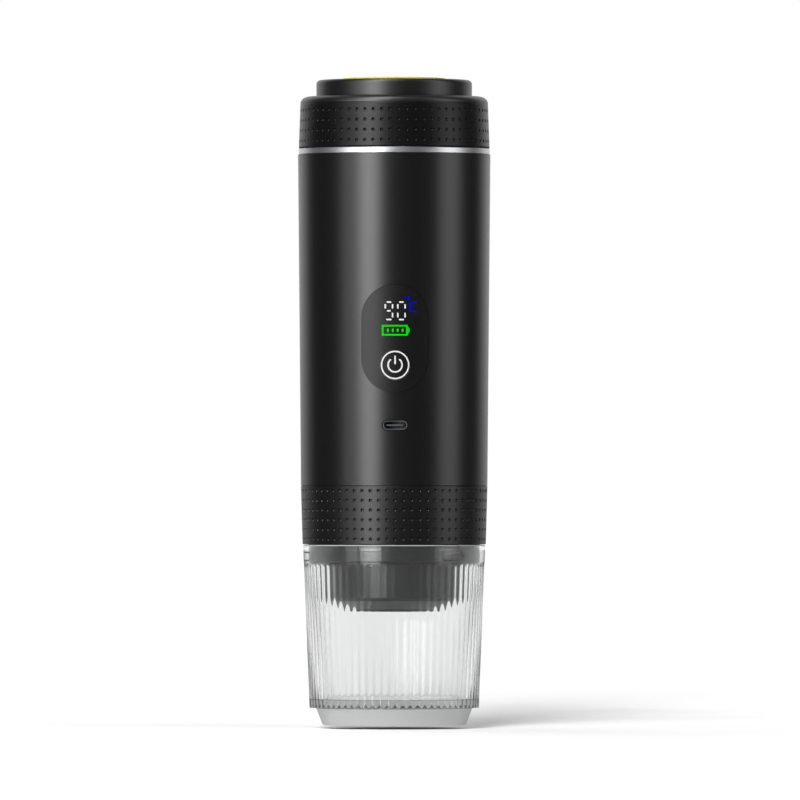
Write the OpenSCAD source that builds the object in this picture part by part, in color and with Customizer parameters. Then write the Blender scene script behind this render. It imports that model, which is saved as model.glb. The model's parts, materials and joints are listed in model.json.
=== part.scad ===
// Portable espresso maker, in mm. Up is +Z, the front with the display faces -Y, and it stands on its cup at z = 0.

/* [Cup] */
// Height from the table to the rim
cup_h = 66.5; // [60:0.5:74]
// How far the rim stands back from the body
cup_step = 0.8; // [0.4:0.1:1.4]
// How much the cup narrows from the rim to the ribs' lower end, on the radius
cup_taper = 2.3; // [1.6:0.1:3.6]
// Wall thickness at the floor
cup_wall = 2.4; // [1.6:0.1:3]
// Wall thickness of the smooth collar at the rim
cup_lip = 1.5; // [1.2:0.1:1.8]
// Thickness of the floor
cup_floor = 3; // [2:0.2:4]
// Height of the smooth collar above the ribs
cup_collar_h = 7; // [6:0.5:9]
// Height of the foot
foot_h = 6.4; // [5:0.2:8]
// How far the foot stands back under the ribs
foot_step = 2.5; // [1.8:0.1:3.8]
// How much the foot narrows towards the table, on the radius
foot_taper = 2.2; // [1.5:0.1:3.8]
// Number of ribs
rib_count = 70; // [50:1:80]
// Depth of the grooves between the ribs
rib_depth = 0.4; // [0.2:0.05:0.6]
// Number of pads that hold the cup on the brew head
pad_count = 3; // [2:1:5]
// Length of a pad around the collar
pad_w = 9.8; // [7:0.2:12]
// Height of a pad
pad_h = 2.9; // [2.2:0.1:3.4]
// How far a pad stands in from the collar
pad_t = 0.35; // [0.2:0.05:0.5]
// Distance from the rim down to the middle of a pad
pad_drop = 4.2; // [3.4:0.1:4.8]

/* [Brew head] */
// Height of the dotted ring
head_h = 21.4; // [20:0.2:26]
// How much the dotted ring narrows towards the cup, on the radius
head_draft = 0.6; // [0.1:0.1:0.9]
// Depth of the plug that enters the cup
spigot_h = 6.6; // [6:0.2:7]
// Height of the threaded neck that enters the body
neck_h = 6.5; // [5:0.5:8]
// Wall of the threaded neck
neck_wall = 1.8; // [1.4:0.1:2.2]
// Depth of the ledge for chamber and basket below the top of the dotted ring
ledge_drop = 8; // [7:0.5:10]
// Thickness of the chamber's flange
chamber_flange_t = 2.4; // [2:0.2:3]
// How far the brew chamber stands back inside the threaded neck
chamber_step = 3.5; // [2.5:0.1:4.5]
// Reach of the chamber below the dotted ring
chamber_drop = 21; // [18:0.5:24]
// Thickness of the chamber's floor
chamber_floor = 3; // [2:0.2:4]
// Wall of the brew chamber
chamber_wall = 3.2; // [2.2:0.1:5.2]
// Depth of the filter basket
basket_depth = 20; // [14:0.5:24]
// Thickness of the basket's sheet
basket_t = 0.6; // [0.4:0.1:0.8]
// Diameter of a basket hole
basket_hole_d = 1.2; // [0.8:0.1:1.4]
// Rings of basket holes
basket_rings = 4; // [2:1:4]
// Thickness of the basket gasket
gasket_t = 2.5; // [2:0.1:3]
// How far the spout stands back under the chamber
spout_step = 9.5; // [6.5:0.1:12.5]
// Height of the spout
spout_h = 4; // [3:0.2:6]
// How far the top of the spout's cone stands back from the chamber's wall
spout_lip = 1.4; // [1.2:0.1:4]
// Diameter of the spout's plug in the chamber floor
spout_plug_d = 12; // [10:0.5:14]
// Diameter of the spout's bore
spout_bore_d = 6; // [4:0.5:7]

/* [Body] */
// Height of the outer shell
body_h = 122; // [116:1:136]
// Diameter at the bottom, from which the other diameters follow
body_base_d = 68.8; // [62:0.2:76]
// How much the body widens towards the top, on the radius
body_flare = 1.1; // [1:0.1:2.2]
// Wall thickness of the outer shell
shell_wall = 2; // [1.6:0.1:2.2]
// Height of the inner lip at the bottom of the shell
lip_h = 1.5; // [1:0.1:2]
// Height of the inner ledge near the top of the shell
ledge_h = 1.5; // [1:0.1:2]
// Height of the bright trim ring
trim_h = 2.2; // [1.6:0.1:3]
// How far the trim ring stands back from the shell
trim_inset = 0.3; // [0.2:0.1:0.6]

/* [Grip dots] */
// Dots around a ring
dot_count = 70; // [50:1:80]
// Diameter of a dot
dot_d = 1.25; // [0.9:0.05:1.6]
// Depth of a dot
dot_depth = 0.5; // [0.3:0.05:0.7]
// Rows of dots on the brew head
head_rows = 6; // [3:1:6]
// Distance between rows on the brew head
head_row_pitch = 3.56; // [2.4:0.02:3.7]
// Height of the lowest row above the bottom of the brew head's ring
head_row_start = 1.9; // [1.4:0.1:2.4]
// Rows of dots on the lid
lid_rows = 4; // [2:1:4]
// Distance between rows on the lid
lid_row_pitch = 3.76; // [2.4:0.02:4]
// Height of the lowest row above the bottom of the lid
lid_row_start = 2.4; // [1.4:0.1:3]

/* [Panel and port] */
// Width of the display panel
panel_w = 24.4; // [22:0.2:27]
// Height of the display panel
panel_h = 39.6; // [37:0.2:44]
// Thickness of the display panel
panel_t = 1.2; // [0.8:0.1:1.4]
// How far the panel lies below the shell's surface
panel_sink = 0.1; // [0.05:0.05:0.3]
// Rim of shell left behind the panel
panel_rim = 2; // [1:0.2:3]
// Height of the panel's middle above the bottom of the shell
panel_z = 53.9; // [50:0.2:60]
// Diameter of the power button
button_d = 8.7; // [7.5:0.1:9.5]
// Width of the lit ring around the button
ring_w = 0.95; // [0.7:0.05:1.2]
// Flange of the lit ring behind the panel
ring_flange = 1; // [0.6:0.1:1.4]
// Height of the button above the bottom of the shell
button_z = 44.1; // [42:0.2:46]
// Height of the charging port above the bottom of the shell
port_z = 22.1; // [18:0.2:26]
// Width of the charging port's metal case
port_w = 8.94; // [8.9:0.02:9]
// Height of the charging port's metal case
port_h = 3.26; // [3.2:0.02:3.3]
// Wall of the charging port's metal case
port_wall = 0.3; // [0.2:0.05:0.4]
// Width of the tongue in the charging port
tongue_w = 6.69; // [6.4:0.01:6.8]
// Thickness of the tongue in the charging port
tongue_t = 0.7; // [0.6:0.05:0.8]
// How far the charging port lies behind the shell's surface
port_sink = 0.3; // [0.1:0.1:0.8]

/* [Lid] */
// Height of the lid from its bottom edge to its shoulder
lid_h = 19; // [18.5:0.5:22]
// How far the lid's bottom edge stands back from the body
lid_inset = 0.3; // [0.1:0.1:0.5]
// How much the lid narrows towards its shoulder, on the radius
lid_draft = 0.6; // [0.2:0.1:1]
// Thickness of the dotted grip band at its top
grip_t = 1.5; // [1.2:0.1:1.8]
// Height of the rounded shoulder
shoulder_h = 2.5; // [1.8:0.1:3]
// Width of the rounded shoulder
shoulder_w = 3.2; // [2:0.2:4]
// Wall of the lid's shell
lid_wall = 1.6; // [1.2:0.1:1.8]
// Wall of the lid's liner
liner_wall = 1.8; // [1.4:0.1:2]
// Thickness of the lid's and the liner's tops
roof_t = 2.2; // [1.6:0.1:2.4]
// How far the cap stands back from the lid's shoulder
cap_step = 5.9; // [4.6:0.1:8.6]
// Height of the cap
cap_h = 6.1; // [5:0.1:8]
// Wall of the cap
cap_wall = 2; // [1.4:0.1:2.4]
// Rounding of the cap's top edge
cap_edge = 1.5; // [0.8:0.1:2]
// Diameter of the cap's snap plug
cap_plug_d = 24; // [18:0.5:30]
// How far the inlay stands back from the cap's side
inlay_step = 9.7; // [6.7:0.1:12.7]
// Depth of the inlay's seat
inlay_seat = 1.2; // [0.8:0.1:1.4]
// Height of the inlay's edge above the cap
inlay_edge = 0.6; // [0.2:0.1:0.8]
// Extra height of the inlay's middle
inlay_dome = 0.6; // [0.3:0.1:1]
// Thickness of the lid gasket
lid_gasket_t = 1.5; // [1.2:0.1:2]
// Diameter of the vent valve's stem
vent_d = 4; // [3:0.2:5]

/* [Tank] */
// Height of the threaded mouth above the shell
mouth_h = 11.2; // [9:0.2:11.6]
// Wall of the threaded mouth
mouth_wall = 2.3; // [2:0.1:2.5]
// Height of the collar's flange
flange_t = 3; // [2.6:0.1:4]
// How much wider the tank is than the mouth, on the radius
tank_step = 0.7; // [0.4:0.1:1]
// Thickness of the tank's wall
tank_wall = 1; // [0.6:0.1:1.1]
// Thickness of the tank seal
tank_seal_t = 1.2; // [1:0.1:1.6]
// Diameter of the heater
heater_d = 30; // [24:0.5:31]
// Thickness of the heater
heater_t = 1.5; // [1:0.1:2]
// Thickness of the insulating pad under the heater
heater_pad_t = 2; // [1.9:0.1:3]
// Diameter of the temperature sensor
sensor_d = 4; // [3:0.2:5]

/* [Battery and pump] */
// Diameter of a cell, as a share of the body's inside
cell_share = 0.284; // [0.274:0.002:0.29]
// Length of a cell
cell_l = 65; // [60:0.5:70]
// Gap between cells
cell_gap = 1; // [0.6:0.1:1.4]
// Number of cells
cell_count = 3; // [1:1:3]
// Rim of the trays around a cell
tray_rim = 0.9; // [0.8:0.05:1.2]
// Depth of the trays
tray_t = 3; // [2:0.2:5]
// Floor of the trays
tray_floor = 1; // [0.6:0.1:1.6]
// Thickness of the group head's deck
deck_t = 4; // [3.4:0.1:5]
// Thickness of the plate under the tank
plate_t = 2.5; // [2:0.1:3]
// Diameter of a frame post
post_d = 6; // [5:0.2:7]
// Thickness of the damper under the pump
damper_t = 2; // [1:0.1:3]
// Thickness of the pump's floor
pump_floor = 4; // [3.4:0.1:5]
// Thickness of the pump's cover
cover_t = 3; // [2.6:0.1:4]
// Thickness of the motor bracket
bracket_t = 2; // [1.6:0.1:3]
// Diameter of the motor, as a share of the body's inside
motor_share = 0.37; // [0.308:0.002:0.378]
// Length of the motor
motor_l = 34; // [28:0.5:38]
// Distance of the motor's axis in front of the middle, as a share of the body's inside
motor_fore_share = 0.062; // [0.056:0.001:0.071]
// Diameter of the motor's shaft
shaft_d = 3; // [2:0.1:3.2]
// Teeth on a pump gear
gear_teeth = 12; // [11:1:13]
// Size of a gear tooth, as its pitch diameter per tooth in shares of the body's inside
gear_share = 0.0139; // [0.0124:0.0001:0.0145]
// Width of the pump gears
gear_w = 8; // [5:0.5:10]
// Outside diameter of the feed hose
hose_d = 6; // [5:0.2:6.4]
// Bore of the feed hose
hose_bore = 4; // [3:0.1:4.2]
// Distance of the feed hose from the pump
hose_reach = 7.5; // [7:0.1:8]
// Thickness of the circuit board
board_t = 1.6; // [1:0.1:2]
// Width of the circuit board, as a share of the body's inside
board_share = 0.463; // [0.34:0.001:0.494]
// Distance from the shell to the front of the circuit board
board_inset = 5.2; // [4.8:0.1:5.6]
// Width of the display module
module_w = 16; // [12:0.5:18]
// Height of the display module
module_h = 14; // [10:0.5:16]
// Height of the display module's middle above the panel's middle
module_rise = 8.5; // [7:0.1:10]
// Radius of the pump's shaft seal
seal_r = 3.2; // [2.6:0.1:3.6]
// Radius of the check valve
valve_r = 3; // [2.4:0.1:3.2]
// Depth of the shower screw's hole
shower_screw_l = 6; // [5:0.1:7]
// Depth of the frame screws' holes
frame_screw_l = 8; // [6:0.5:10]

/* [Fits] */
// Gap between outer parts where they meet
parting = 0.2; // [0.1:0.05:0.4]
// Gap around parts that screw, slide or pull apart
slide_gap = 0.3; // [0.2:0.05:0.4]
// Gap around fixed parts
fit = 0.1; // [0.05:0.01:0.15]
// Gap around turning shafts
run_gap = 0.05; // [0.03:0.01:0.08]

/* [Hidden] */
$fn = 96;
gear_pressure = 28;
gear_backlash = 0.12;
usb_back = 0.6;
rib_inset = 0.08;

// Heights
z_rib0 = foot_h;
z_rib1 = cup_h - cup_collar_h;
z_head = cup_h + parting;
z_head1 = z_head + head_h;
z_body = z_head1 + parting;
z_body1 = z_body + body_h;
z_trim1 = z_body1 + trim_h;
z_lid = z_trim1 + parting;
z_lid1 = z_lid + lid_h;
z_grip1 = z_lid1 - shoulder_h;
z_cap1 = z_lid1 + cap_h;
z_ledge = z_head1 - ledge_drop;
z_flange1 = z_ledge + chamber_flange_t;
z_basket1 = z_flange1 + basket_t;
z_gasket1 = z_basket1 + gasket_t;
z_boss = z_gasket1 + parting;
z_chamber = z_head - chamber_drop;
z_spout = z_chamber - spout_h;
z_lip1 = z_body + lip_h;
z_neck1 = z_head1 + neck_h;
z_group = z_neck1 + slide_gap;
z_deck = z_group + deck_t;
z_plate = z_deck + cell_l + 2 * tray_floor;
z_plate1 = z_plate + plate_t;
z_heater = z_plate1 + heater_pad_t;
z_tank = z_heater + heater_t;
z_flange0 = z_body1 - flange_t;
z_tank1 = z_flange0 - fit;
z_mouth1 = z_body1 + mouth_h;
z_liner = z_mouth1 + fit + lid_gasket_t;
z_pump = z_deck + damper_t;
z_cavity = z_pump + pump_floor;
z_cover = z_cavity + gear_w + 2 * fit;
z_bracket = z_cover + cover_t;
z_motor = z_bracket + bracket_t;
z_port = z_cavity + gear_w / 2;

// Outside diameters
cup_rim_d = body_base_d - 2 * cup_step;
cup_base_d = cup_rim_d - 2 * cup_taper;
foot_top_d = cup_base_d - 2 * foot_step;
foot_base_d = foot_top_d - 2 * foot_taper;
head_base_d = body_base_d - 2 * head_draft;
body_top_d = body_base_d + 2 * body_flare;
lid_base_d = body_top_d - 2 * lid_inset;
lid_top_d = lid_base_d - 2 * lid_draft;
cap_d = lid_top_d - 2 * cap_step;
inlay_d = cap_d - 2 * inlay_step;

// Radii, worked out from the outside inwards
cup_bore_r = cup_rim_d / 2 - cup_lip;
spigot_r = cup_bore_r - pad_t - slide_gap / 2;
core_r = spigot_r + 0.5;
inner_r = body_base_d / 2 - shell_wall;
skirt_w = 1.2;
neck_r = inner_r - fit - skirt_w - slide_gap;
socket_r = neck_r + slide_gap;
counter_r = neck_r - neck_wall;
flange_r = counter_r - fit;
boss_r = counter_r - slide_gap;
chamber_d = 2 * (counter_r - chamber_step);
basket_d = chamber_d - 2 * (chamber_wall + slide_gap);
spout_d = chamber_d - 2 * spout_step;
recess_r = basket_d / 2 - 1.8;
recess_h = 2;
plate_screw_r = 4;
lid_core_r = lid_top_d / 2 - grip_t;
lid_in_r = lid_core_r - lid_wall;
liner_r = lid_in_r - fit;
liner_in_r = liner_r - liner_wall;
mouth_r = liner_in_r - slide_gap;
mouth_in_r = mouth_r - mouth_wall;
tank_r = mouth_r + tank_step;
seal_in_r = tank_r - tank_wall - 0.8;
seal_out_r = tank_r + 0.4;
ledge_r = tank_r + 1;

// Sizes and places of the pump, cells, posts and hose
cell_d = 2 * inner_r * cell_share;
motor_d = 2 * inner_r * motor_share;
motor_fore = 2 * inner_r * motor_fore_share;
gear_module = 2 * inner_r * gear_share;
board_w = 2 * inner_r * board_share;
pitch_r = gear_module * gear_teeth / 2;
tip_r = pitch_r + 0.8 * gear_module;
root_r = pitch_r - 1.06 * gear_module;
cavity_r = tip_r + fit;
axis_gap = 2 * pitch_r + 0.1;
drive_y = -motor_fore;
idler_y = drive_y - axis_gap;
pump_y = (drive_y + idler_y) / 2;
pump_w = 2 * (tip_r + 5.4);
pump_l = axis_gap + 2 * (tip_r + 2.4);
pump_screw_x = pump_w / 2 - 2.5;
pump_screw_y = pump_l / 2 - 2.7;
outlet_x = pump_w / 2 - 4.5;
hose_x = -pump_w / 2 - hose_reach;
post_x = inner_r - 5.4;
post_y = -1;
cell_ring = inner_r - cell_d / 2 - tray_rim - 2 * fit;
cell_step = 2 * asin((cell_d + cell_gap) / 2 / cell_ring);
sensor_x = heater_d / 4;

// The front: everything along -Y is measured from the middle
z_panel = z_body + panel_z;
z_button = z_body + button_z;
z_usb = z_body + port_z;
button_r = button_d / 2;
ring_in_r = button_r + slide_gap / 2;
ring_r = ring_in_r + ring_w;
ring_back_r = ring_r + ring_flange;
panel_back = body_r(z_button - ring_back_r) - panel_sink - panel_t;
ring_y = sqrt(panel_back * panel_back - ring_back_r * ring_back_r) - fit;
ring_flange_t = 0.7;
button_y = ring_y - ring_flange_t - fit;
button_flange_t = 0.8;
plunger_y = button_y - button_flange_t - 0.4;
plunger_d = 3;
switch_y = plunger_y - 0.7;
switch_w = 6;
switch_bore = 2;
board_y = inner_r - board_inset;
usb_y = body_r(z_usb) - port_sink;

// Radius of the shell's outside and inside at a height
function body_r(z) = (body_base_d + (body_top_d - body_base_d) * (z - z_body) / body_h) / 2;
function shell_r(z) = body_r(z) - shell_wall;

// Radius of the cup over its ribs at a height
function cup_r(z) = (cup_base_d + (cup_rim_d - cup_base_d) * (z - z_rib0) / (cup_h - z_rib0)) / 2;

// Points of an arc about c, with separate radii across and up
function arc(c, rx, ry, a0, a1, n = 6) =
    [for (i = [0 : n]) let (a = a0 + (a1 - a0) * i / n) c + [rx * cos(a), ry * sin(a)]];

// Outlines: a pill standing on its round end, a rectangle with round corners, and the ribbed cup wall
function pill(w, h, n = 24) =
    concat(arc([0, (h - w) / 2], w / 2, w / 2, 0, 180, n), arc([0, (w - h) / 2], w / 2, w / 2, 180, 360, n));
function rounded(w, l, r) = concat(
    arc([w / 2 - r, l / 2 - r], r, r, 0, 90), arc([r - w / 2, l / 2 - r], r, r, 90, 180),
    arc([r - w / 2, r - l / 2], r, r, 180, 270), arc([w / 2 - r, r - l / 2], r, r, 270, 360));
function ribbed(r, depth, n) =
    [for (i = [0 : 6 * n - 1]) let (a = 60 * i / n) (r - depth * (1 - abs(cos(n * a / 2)))) * [cos(a), sin(a)]];

// One gear tooth about +X: involute flanks between root and tip
function unrolled(r) = let (t = sqrt(max(0, pow(r / (pitch_r * cos(gear_pressure)), 2) - 1))) t * 180 / PI - atan(t);
function tooth_angle(r) =
    90 / gear_teeth - gear_backlash / pitch_r * 90 / PI + unrolled(pitch_r) - unrolled(r);
function flank(side) = [for (i = [0 : 4])
    let (r = pitch_r * cos(gear_pressure) + (tip_r - pitch_r * cos(gear_pressure)) * i / 4)
    r * [cos(tooth_angle(r)), side * sin(tooth_angle(r))]];
function tooth() = concat(
    [root_r * [cos(tooth_angle(root_r)), -sin(tooth_angle(root_r))]], flank(-1),
    [for (i = [4 : -1 : 0]) flank(1)[i]],
    [root_r * [cos(tooth_angle(root_r)), sin(tooth_angle(root_r))]]);
function turned(p, a) = [p[0] * cos(a) - p[1] * sin(a), p[0] * sin(a) + p[1] * cos(a)];
function gear() = [for (k = [0 : gear_teeth - 1]) for (p = tooth()) turned(p, k * 360 / gear_teeth)];

module turned_part(points) {
    rotate_extrude()
        polygon(points);
}

module ring(r, r_in, z0, z1) {
    turned_part([[r_in, z0], [r, z0], [r, z1], [r_in, z1]]);
}

module disc(r, z0, z1) {
    translate([0, 0, z0])
        cylinder(r = r, h = z1 - z0);
}

// A prism or a rod along -Y between two distances from the middle
module front_prism(points, z, y0, y1) {
    translate([0, -y0, z])
        rotate([90, 0, 0])
            linear_extrude(height = y1 - y0)
                polygon(points);
}

module front_rod(r, z, y0, y1) {
    translate([0, -y0, z])
        rotate([90, 0, 0])
            cylinder(r = r, h = y1 - y0);
}

// The shell's outside as a solid cone, drawn in by a distance
module body_cone(inset) {
    translate([0, 0, z_body])
        cylinder(r1 = body_base_d / 2 - inset, r2 = body_top_d / 2 - inset, h = body_h);
}

module panel_outline(grow, y0, y1) {
    front_prism(pill(panel_w + 2 * grow, panel_h + 2 * grow), z_panel, y0, y1);
}

// Rows of round recesses in a turned surface that runs from r0 at z0 to r1 at z1
module dots(r0, z0, r1, z1, rows, start, pitch, turn) {
    for (k = [0 : rows - 1]) {
        z = z0 + start + k * pitch;
        r = r0 + (r1 - r0) * (z - z0) / (z1 - z0);
        for (i = [0 : dot_count - 1])
            rotate([0, 0, (i + turn) * 360 / dot_count])
                front_rod(dot_d / 2, z, r - dot_depth, r + 1);
    }
}

// Rings of holes through a round plate
module strainer(rings, pitch, d, z0, z1) {
    for (k = [1 : rings])
        for (i = [0 : 6 * k - 1])
            rotate([0, 0, i * 60 / k])
                translate([k * pitch, 0, z0])
                    cylinder(d = d, h = z1 - z0);
}

module at_pump_screws() {
    for (x = [-1, 1])
        for (y = [-1, 1])
            translate([x * pump_screw_x, pump_y + y * pump_screw_y, 0])
                children();
}

module at_posts() {
    for (x = [-1, 1])
        translate([x * post_x, post_y, 0])
            children();
}

module at_cells() {
    for (k = [0 : cell_count - 1])
        rotate([0, 0, (k - (cell_count - 1) / 2) * cell_step])
            translate([0, cell_ring, 0])
                children();
}

// A tray that stands at z0, with a pocket for each cell from p0 to p1
module tray(z0, p0, p1) {
    difference() {
        translate([0, 0, z0])
            linear_extrude(height = tray_t)
                at_cells()
                    circle(r = cell_d / 2 + tray_rim);
        at_cells()
            disc(cell_d / 2 + fit, p0, p1);
    }
}

module pump_block(z0, z1) {
    translate([0, pump_y, z0])
        linear_extrude(height = z1 - z0)
            polygon(rounded(pump_w, pump_l, 2.5));
}

module cup() {
    color([0.86, 0.9, 0.92, 0.5]) {
        difference() {
            union() {
                turned_part([[0, 0], [foot_base_d / 2 - 0.6, 0], [foot_base_d / 2, 0.6], [foot_top_d / 2, z_rib0],
                    [foot_top_d / 2, z_rib0 + 1], [0, z_rib0 + 1]]);
                translate([0, 0, z_rib0])
                    linear_extrude(height = z_rib1 - z_rib0, scale = cup_r(z_rib1) / cup_r(z_rib0))
                        polygon(ribbed(cup_r(z_rib0) - rib_inset, rib_depth, rib_count));
                turned_part([[cup_bore_r - 2, z_rib1], [cup_r(z_rib1), z_rib1], [cup_rim_d / 2, cup_h - 0.4],
                    [cup_rim_d / 2 - 0.4, cup_h], [cup_bore_r - 2, cup_h]]);
            }
            turned_part([[0, z_rib0 + cup_floor], [cup_base_d / 2 - cup_wall - 3, z_rib0 + cup_floor],
                [cup_base_d / 2 - cup_wall, z_rib0 + cup_floor + 3], [cup_bore_r, z_rib1], [cup_bore_r, cup_h + 1],
                [0, cup_h + 1]]);
        }
        for (k = [0 : pad_count - 1])
            rotate([0, 0, 41 + k * 360 / pad_count])
                intersection() {
                    ring(cup_bore_r + 0.6, cup_bore_r - pad_t, z_rib1, cup_h);
                    translate([0, 0, cup_h - pad_drop])
                        rotate([90, 0, 0])
                            linear_extrude(height = cup_rim_d)
                                rotate([0, 0, 90])
                                    polygon(pill(pad_h, pad_w, 10));
                }
    }
}

module brew_collar() {
    color([0.09, 0.09, 0.1])
        turned_part([[chamber_d / 2 + fit, z_head - spigot_h], [spigot_r - 0.6, z_head - spigot_h],
            [spigot_r, z_head - spigot_h + 0.6], [spigot_r, z_head], [core_r, z_head], [core_r, z_head1],
            [neck_r, z_head1], [neck_r, z_neck1], [counter_r, z_neck1], [counter_r, z_ledge],
            [chamber_d / 2 + fit, z_ledge]]);
}

module head_grip() {
    color([0.12, 0.12, 0.13])
        difference() {
            turned_part([[core_r, z_head], [head_base_d / 2, z_head], [body_base_d / 2, z_head1],
                [core_r, z_head1]]);
            dots(head_base_d / 2, z_head, body_base_d / 2, z_head1, head_rows, head_row_start, head_row_pitch, 0);
        }
}

module brew_chamber() {
    color([0.07, 0.07, 0.08])
        turned_part([[spout_plug_d / 2 + fit, z_chamber], [chamber_d / 2 - 1.2, z_chamber],
            [chamber_d / 2, z_chamber + 1.2], [chamber_d / 2, z_ledge], [flange_r, z_ledge], [flange_r, z_flange1],
            [basket_d / 2 + slide_gap, z_flange1], [basket_d / 2 + slide_gap, z_chamber + chamber_floor + 2],
            [spout_plug_d / 2 + 3, z_chamber + chamber_floor], [spout_plug_d / 2 + fit, z_chamber + chamber_floor]]);
}

module filter_basket() {
    color([0.75, 0.76, 0.77])
        difference() {
            turned_part([[0, z_basket1 - basket_depth], [basket_d / 2, z_basket1 - basket_depth],
                [basket_d / 2, z_flange1], [flange_r, z_flange1], [flange_r, z_basket1],
                [basket_d / 2 - basket_t, z_basket1], [basket_d / 2 - basket_t, z_basket1 - basket_depth + basket_t],
                [0, z_basket1 - basket_depth + basket_t]]);
            strainer(basket_rings, (basket_d / 2 - 3) / basket_rings, basket_hole_d, z_basket1 - basket_depth - 1,
                z_basket1 - basket_depth + basket_t + 1);
        }
}

module basket_gasket() {
    color([0.6, 0.2, 0.12])
        ring(counter_r - slide_gap, basket_d / 2 + basket_t, z_basket1, z_gasket1);
}

module spout_valve() {
    color([0.7, 0.7, 0.68])
        turned_part([[0.8, z_chamber + chamber_floor - 1], [spout_plug_d / 2, z_chamber + chamber_floor - 1],
            [spout_plug_d / 2, z_chamber + chamber_floor], [1.6, z_chamber + chamber_floor]]);
}

module spout_cap() {
    color([0.07, 0.07, 0.08])
        turned_part([[spout_bore_d / 2, z_spout + 1.5], [spout_d / 2 - 3, z_spout], [spout_d / 2 - 0.8, z_spout],
            [spout_d / 2, z_spout + 0.8], [chamber_d / 2 - spout_lip, z_chamber], [spout_plug_d / 2, z_chamber],
            [spout_plug_d / 2, z_chamber + chamber_floor - 1], [spout_bore_d / 2, z_chamber + chamber_floor - 1]]);
}

module outer_shell() {
    color([0.06, 0.06, 0.065])
        difference() {
            turned_part([[socket_r, z_body], [body_base_d / 2, z_body], [body_top_d / 2, z_body1],
                [shell_r(z_body1), z_body1], [shell_r(z_flange0), z_flange0], [ledge_r, z_flange0],
                [ledge_r, z_flange0 - ledge_h], [shell_r(z_flange0 - ledge_h), z_flange0 - ledge_h],
                [shell_r(z_lip1), z_lip1], [socket_r, z_lip1]]);
            difference() {
                panel_outline(fit, inner_r / 2, body_top_d / 2 + 5);
                body_cone(panel_sink + panel_t);
            }
            panel_outline(-panel_rim, inner_r / 2, body_top_d / 2 + 5);
            front_prism([for (p = pill(port_h + 0.4, port_w + 0.4, 12)) [p[1], p[0]]], z_usb, board_y,
                body_top_d / 2 + 5);
        }
}

module trim_ring() {
    color([0.8, 0.81, 0.82])
        turned_part([[mouth_r + fit, z_body1], [body_top_d / 2 - trim_inset - 0.2, z_body1],
            [body_top_d / 2 - trim_inset, z_body1 + 0.2], [body_top_d / 2 - trim_inset, z_trim1 - 0.2],
            [body_top_d / 2 - trim_inset - 0.2, z_trim1], [mouth_r + fit, z_trim1]]);
}

module display_panel() {
    color([0.02, 0.02, 0.025])
        difference() {
            intersection() {
                body_cone(panel_sink);
                panel_outline(0, inner_r / 2, body_top_d / 2 + 5);
            }
            body_cone(panel_sink + panel_t);
            front_rod(ring_r + fit, z_button, inner_r / 2, body_top_d / 2 + 5);
        }
}

module button_ring() {
    color([0.92, 0.93, 0.95])
        difference() {
            intersection() {
                body_cone(panel_sink);
                union() {
                    front_rod(ring_r, z_button, ring_y - ring_flange_t, body_top_d / 2 + 5);
                    front_rod(ring_back_r, z_button, ring_y - ring_flange_t, ring_y);
                }
            }
            front_rod(ring_in_r, z_button, 0, body_top_d / 2 + 5);
        }
}

module power_button() {
    color([0.03, 0.03, 0.035])
        intersection() {
            body_cone(panel_sink);
            union() {
                front_rod(button_r, z_button, button_y - button_flange_t, body_top_d / 2 + 5);
                front_rod(ring_in_r + 0.6, z_button, button_y - button_flange_t, button_y);
                front_rod(plunger_d / 2, z_button, plunger_y, button_y);
            }
        }
}

module switch_plunger() {
    color([0.15, 0.15, 0.15])
        front_rod(plunger_d / 2, z_button, switch_y - 1, plunger_y);
}

module tact_switch() {
    color([0.2, 0.2, 0.21])
        difference() {
            front_prism(rounded(switch_w, switch_w, 0.5), z_button, board_y, switch_y);
            front_rod(plunger_d / 2 + slide_gap / 2, z_button, switch_y - switch_bore, switch_y + 1);
        }
}

module display_module() {
    color([0.85, 0.85, 0.84])
        translate([module_w / 8, 0, 0])
            front_prism(rounded(module_w, module_h, 0.6), z_panel + module_rise, board_y, board_y + 3);
}

module main_board() {
    color([0.05, 0.3, 0.15])
        translate([-board_w / 2, -board_y, z_deck])
            cube([board_w, board_t, z_plate - z_deck]);
}

module usb_port() {
    color([0.72, 0.73, 0.75])
        difference() {
            front_prism([for (p = pill(port_h, port_w, 12)) [p[1], p[0]]], z_usb, board_y, usb_y);
            front_prism([for (p = pill(port_h - 2 * port_wall, port_w - 2 * port_wall, 12)) [p[1], p[0]]], z_usb,
                board_y + usb_back, usb_y + 1);
        }
}

module usb_tongue() {
    color([0.13, 0.13, 0.14])
        translate([-tongue_w / 2, 1.2 - usb_y, z_usb - tongue_t / 2])
            cube([tongue_w, usb_y - 1.2 - board_y - usb_back, tongue_t]);
}

module group_head() {
    color([0.16, 0.16, 0.17])
        difference() {
            turned_part([[0, z_boss + 1], [plate_screw_r, z_boss + 1], [plate_screw_r, z_boss + recess_h],
                [recess_r + fit, z_boss + recess_h], [recess_r + fit, z_boss], [boss_r, z_boss], [boss_r, z_group],
                [socket_r, z_group], [socket_r, z_lip1], [inner_r - fit, z_lip1], [inner_r - fit, z_deck],
                [0, z_deck]]);
            translate([outlet_x, pump_y, z_boss]) {
                cylinder(d = 2.4, h = z_deck - z_boss + 1);
                cylinder(r = valve_r, h = recess_h + 1.2);
            }
            at_posts()
                disc(post_d / 2 - 1 + fit, z_deck - 2.5, z_deck + 1);
            at_pump_screws()
                disc(1.25 + fit, z_deck - 2.5, z_deck + 1);
            disc(1.5 + fit, z_boss, z_boss + shower_screw_l);
        }
}

module shower_plate() {
    color([0.75, 0.76, 0.77])
        difference() {
            disc(recess_r, z_boss, z_boss + 1);
            disc(1.5 + fit, z_boss - 1, z_boss + 2);
            strainer(3, (recess_r - 2) / 3, 1.2, z_boss - 1, z_boss + 2);
        }
}

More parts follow.
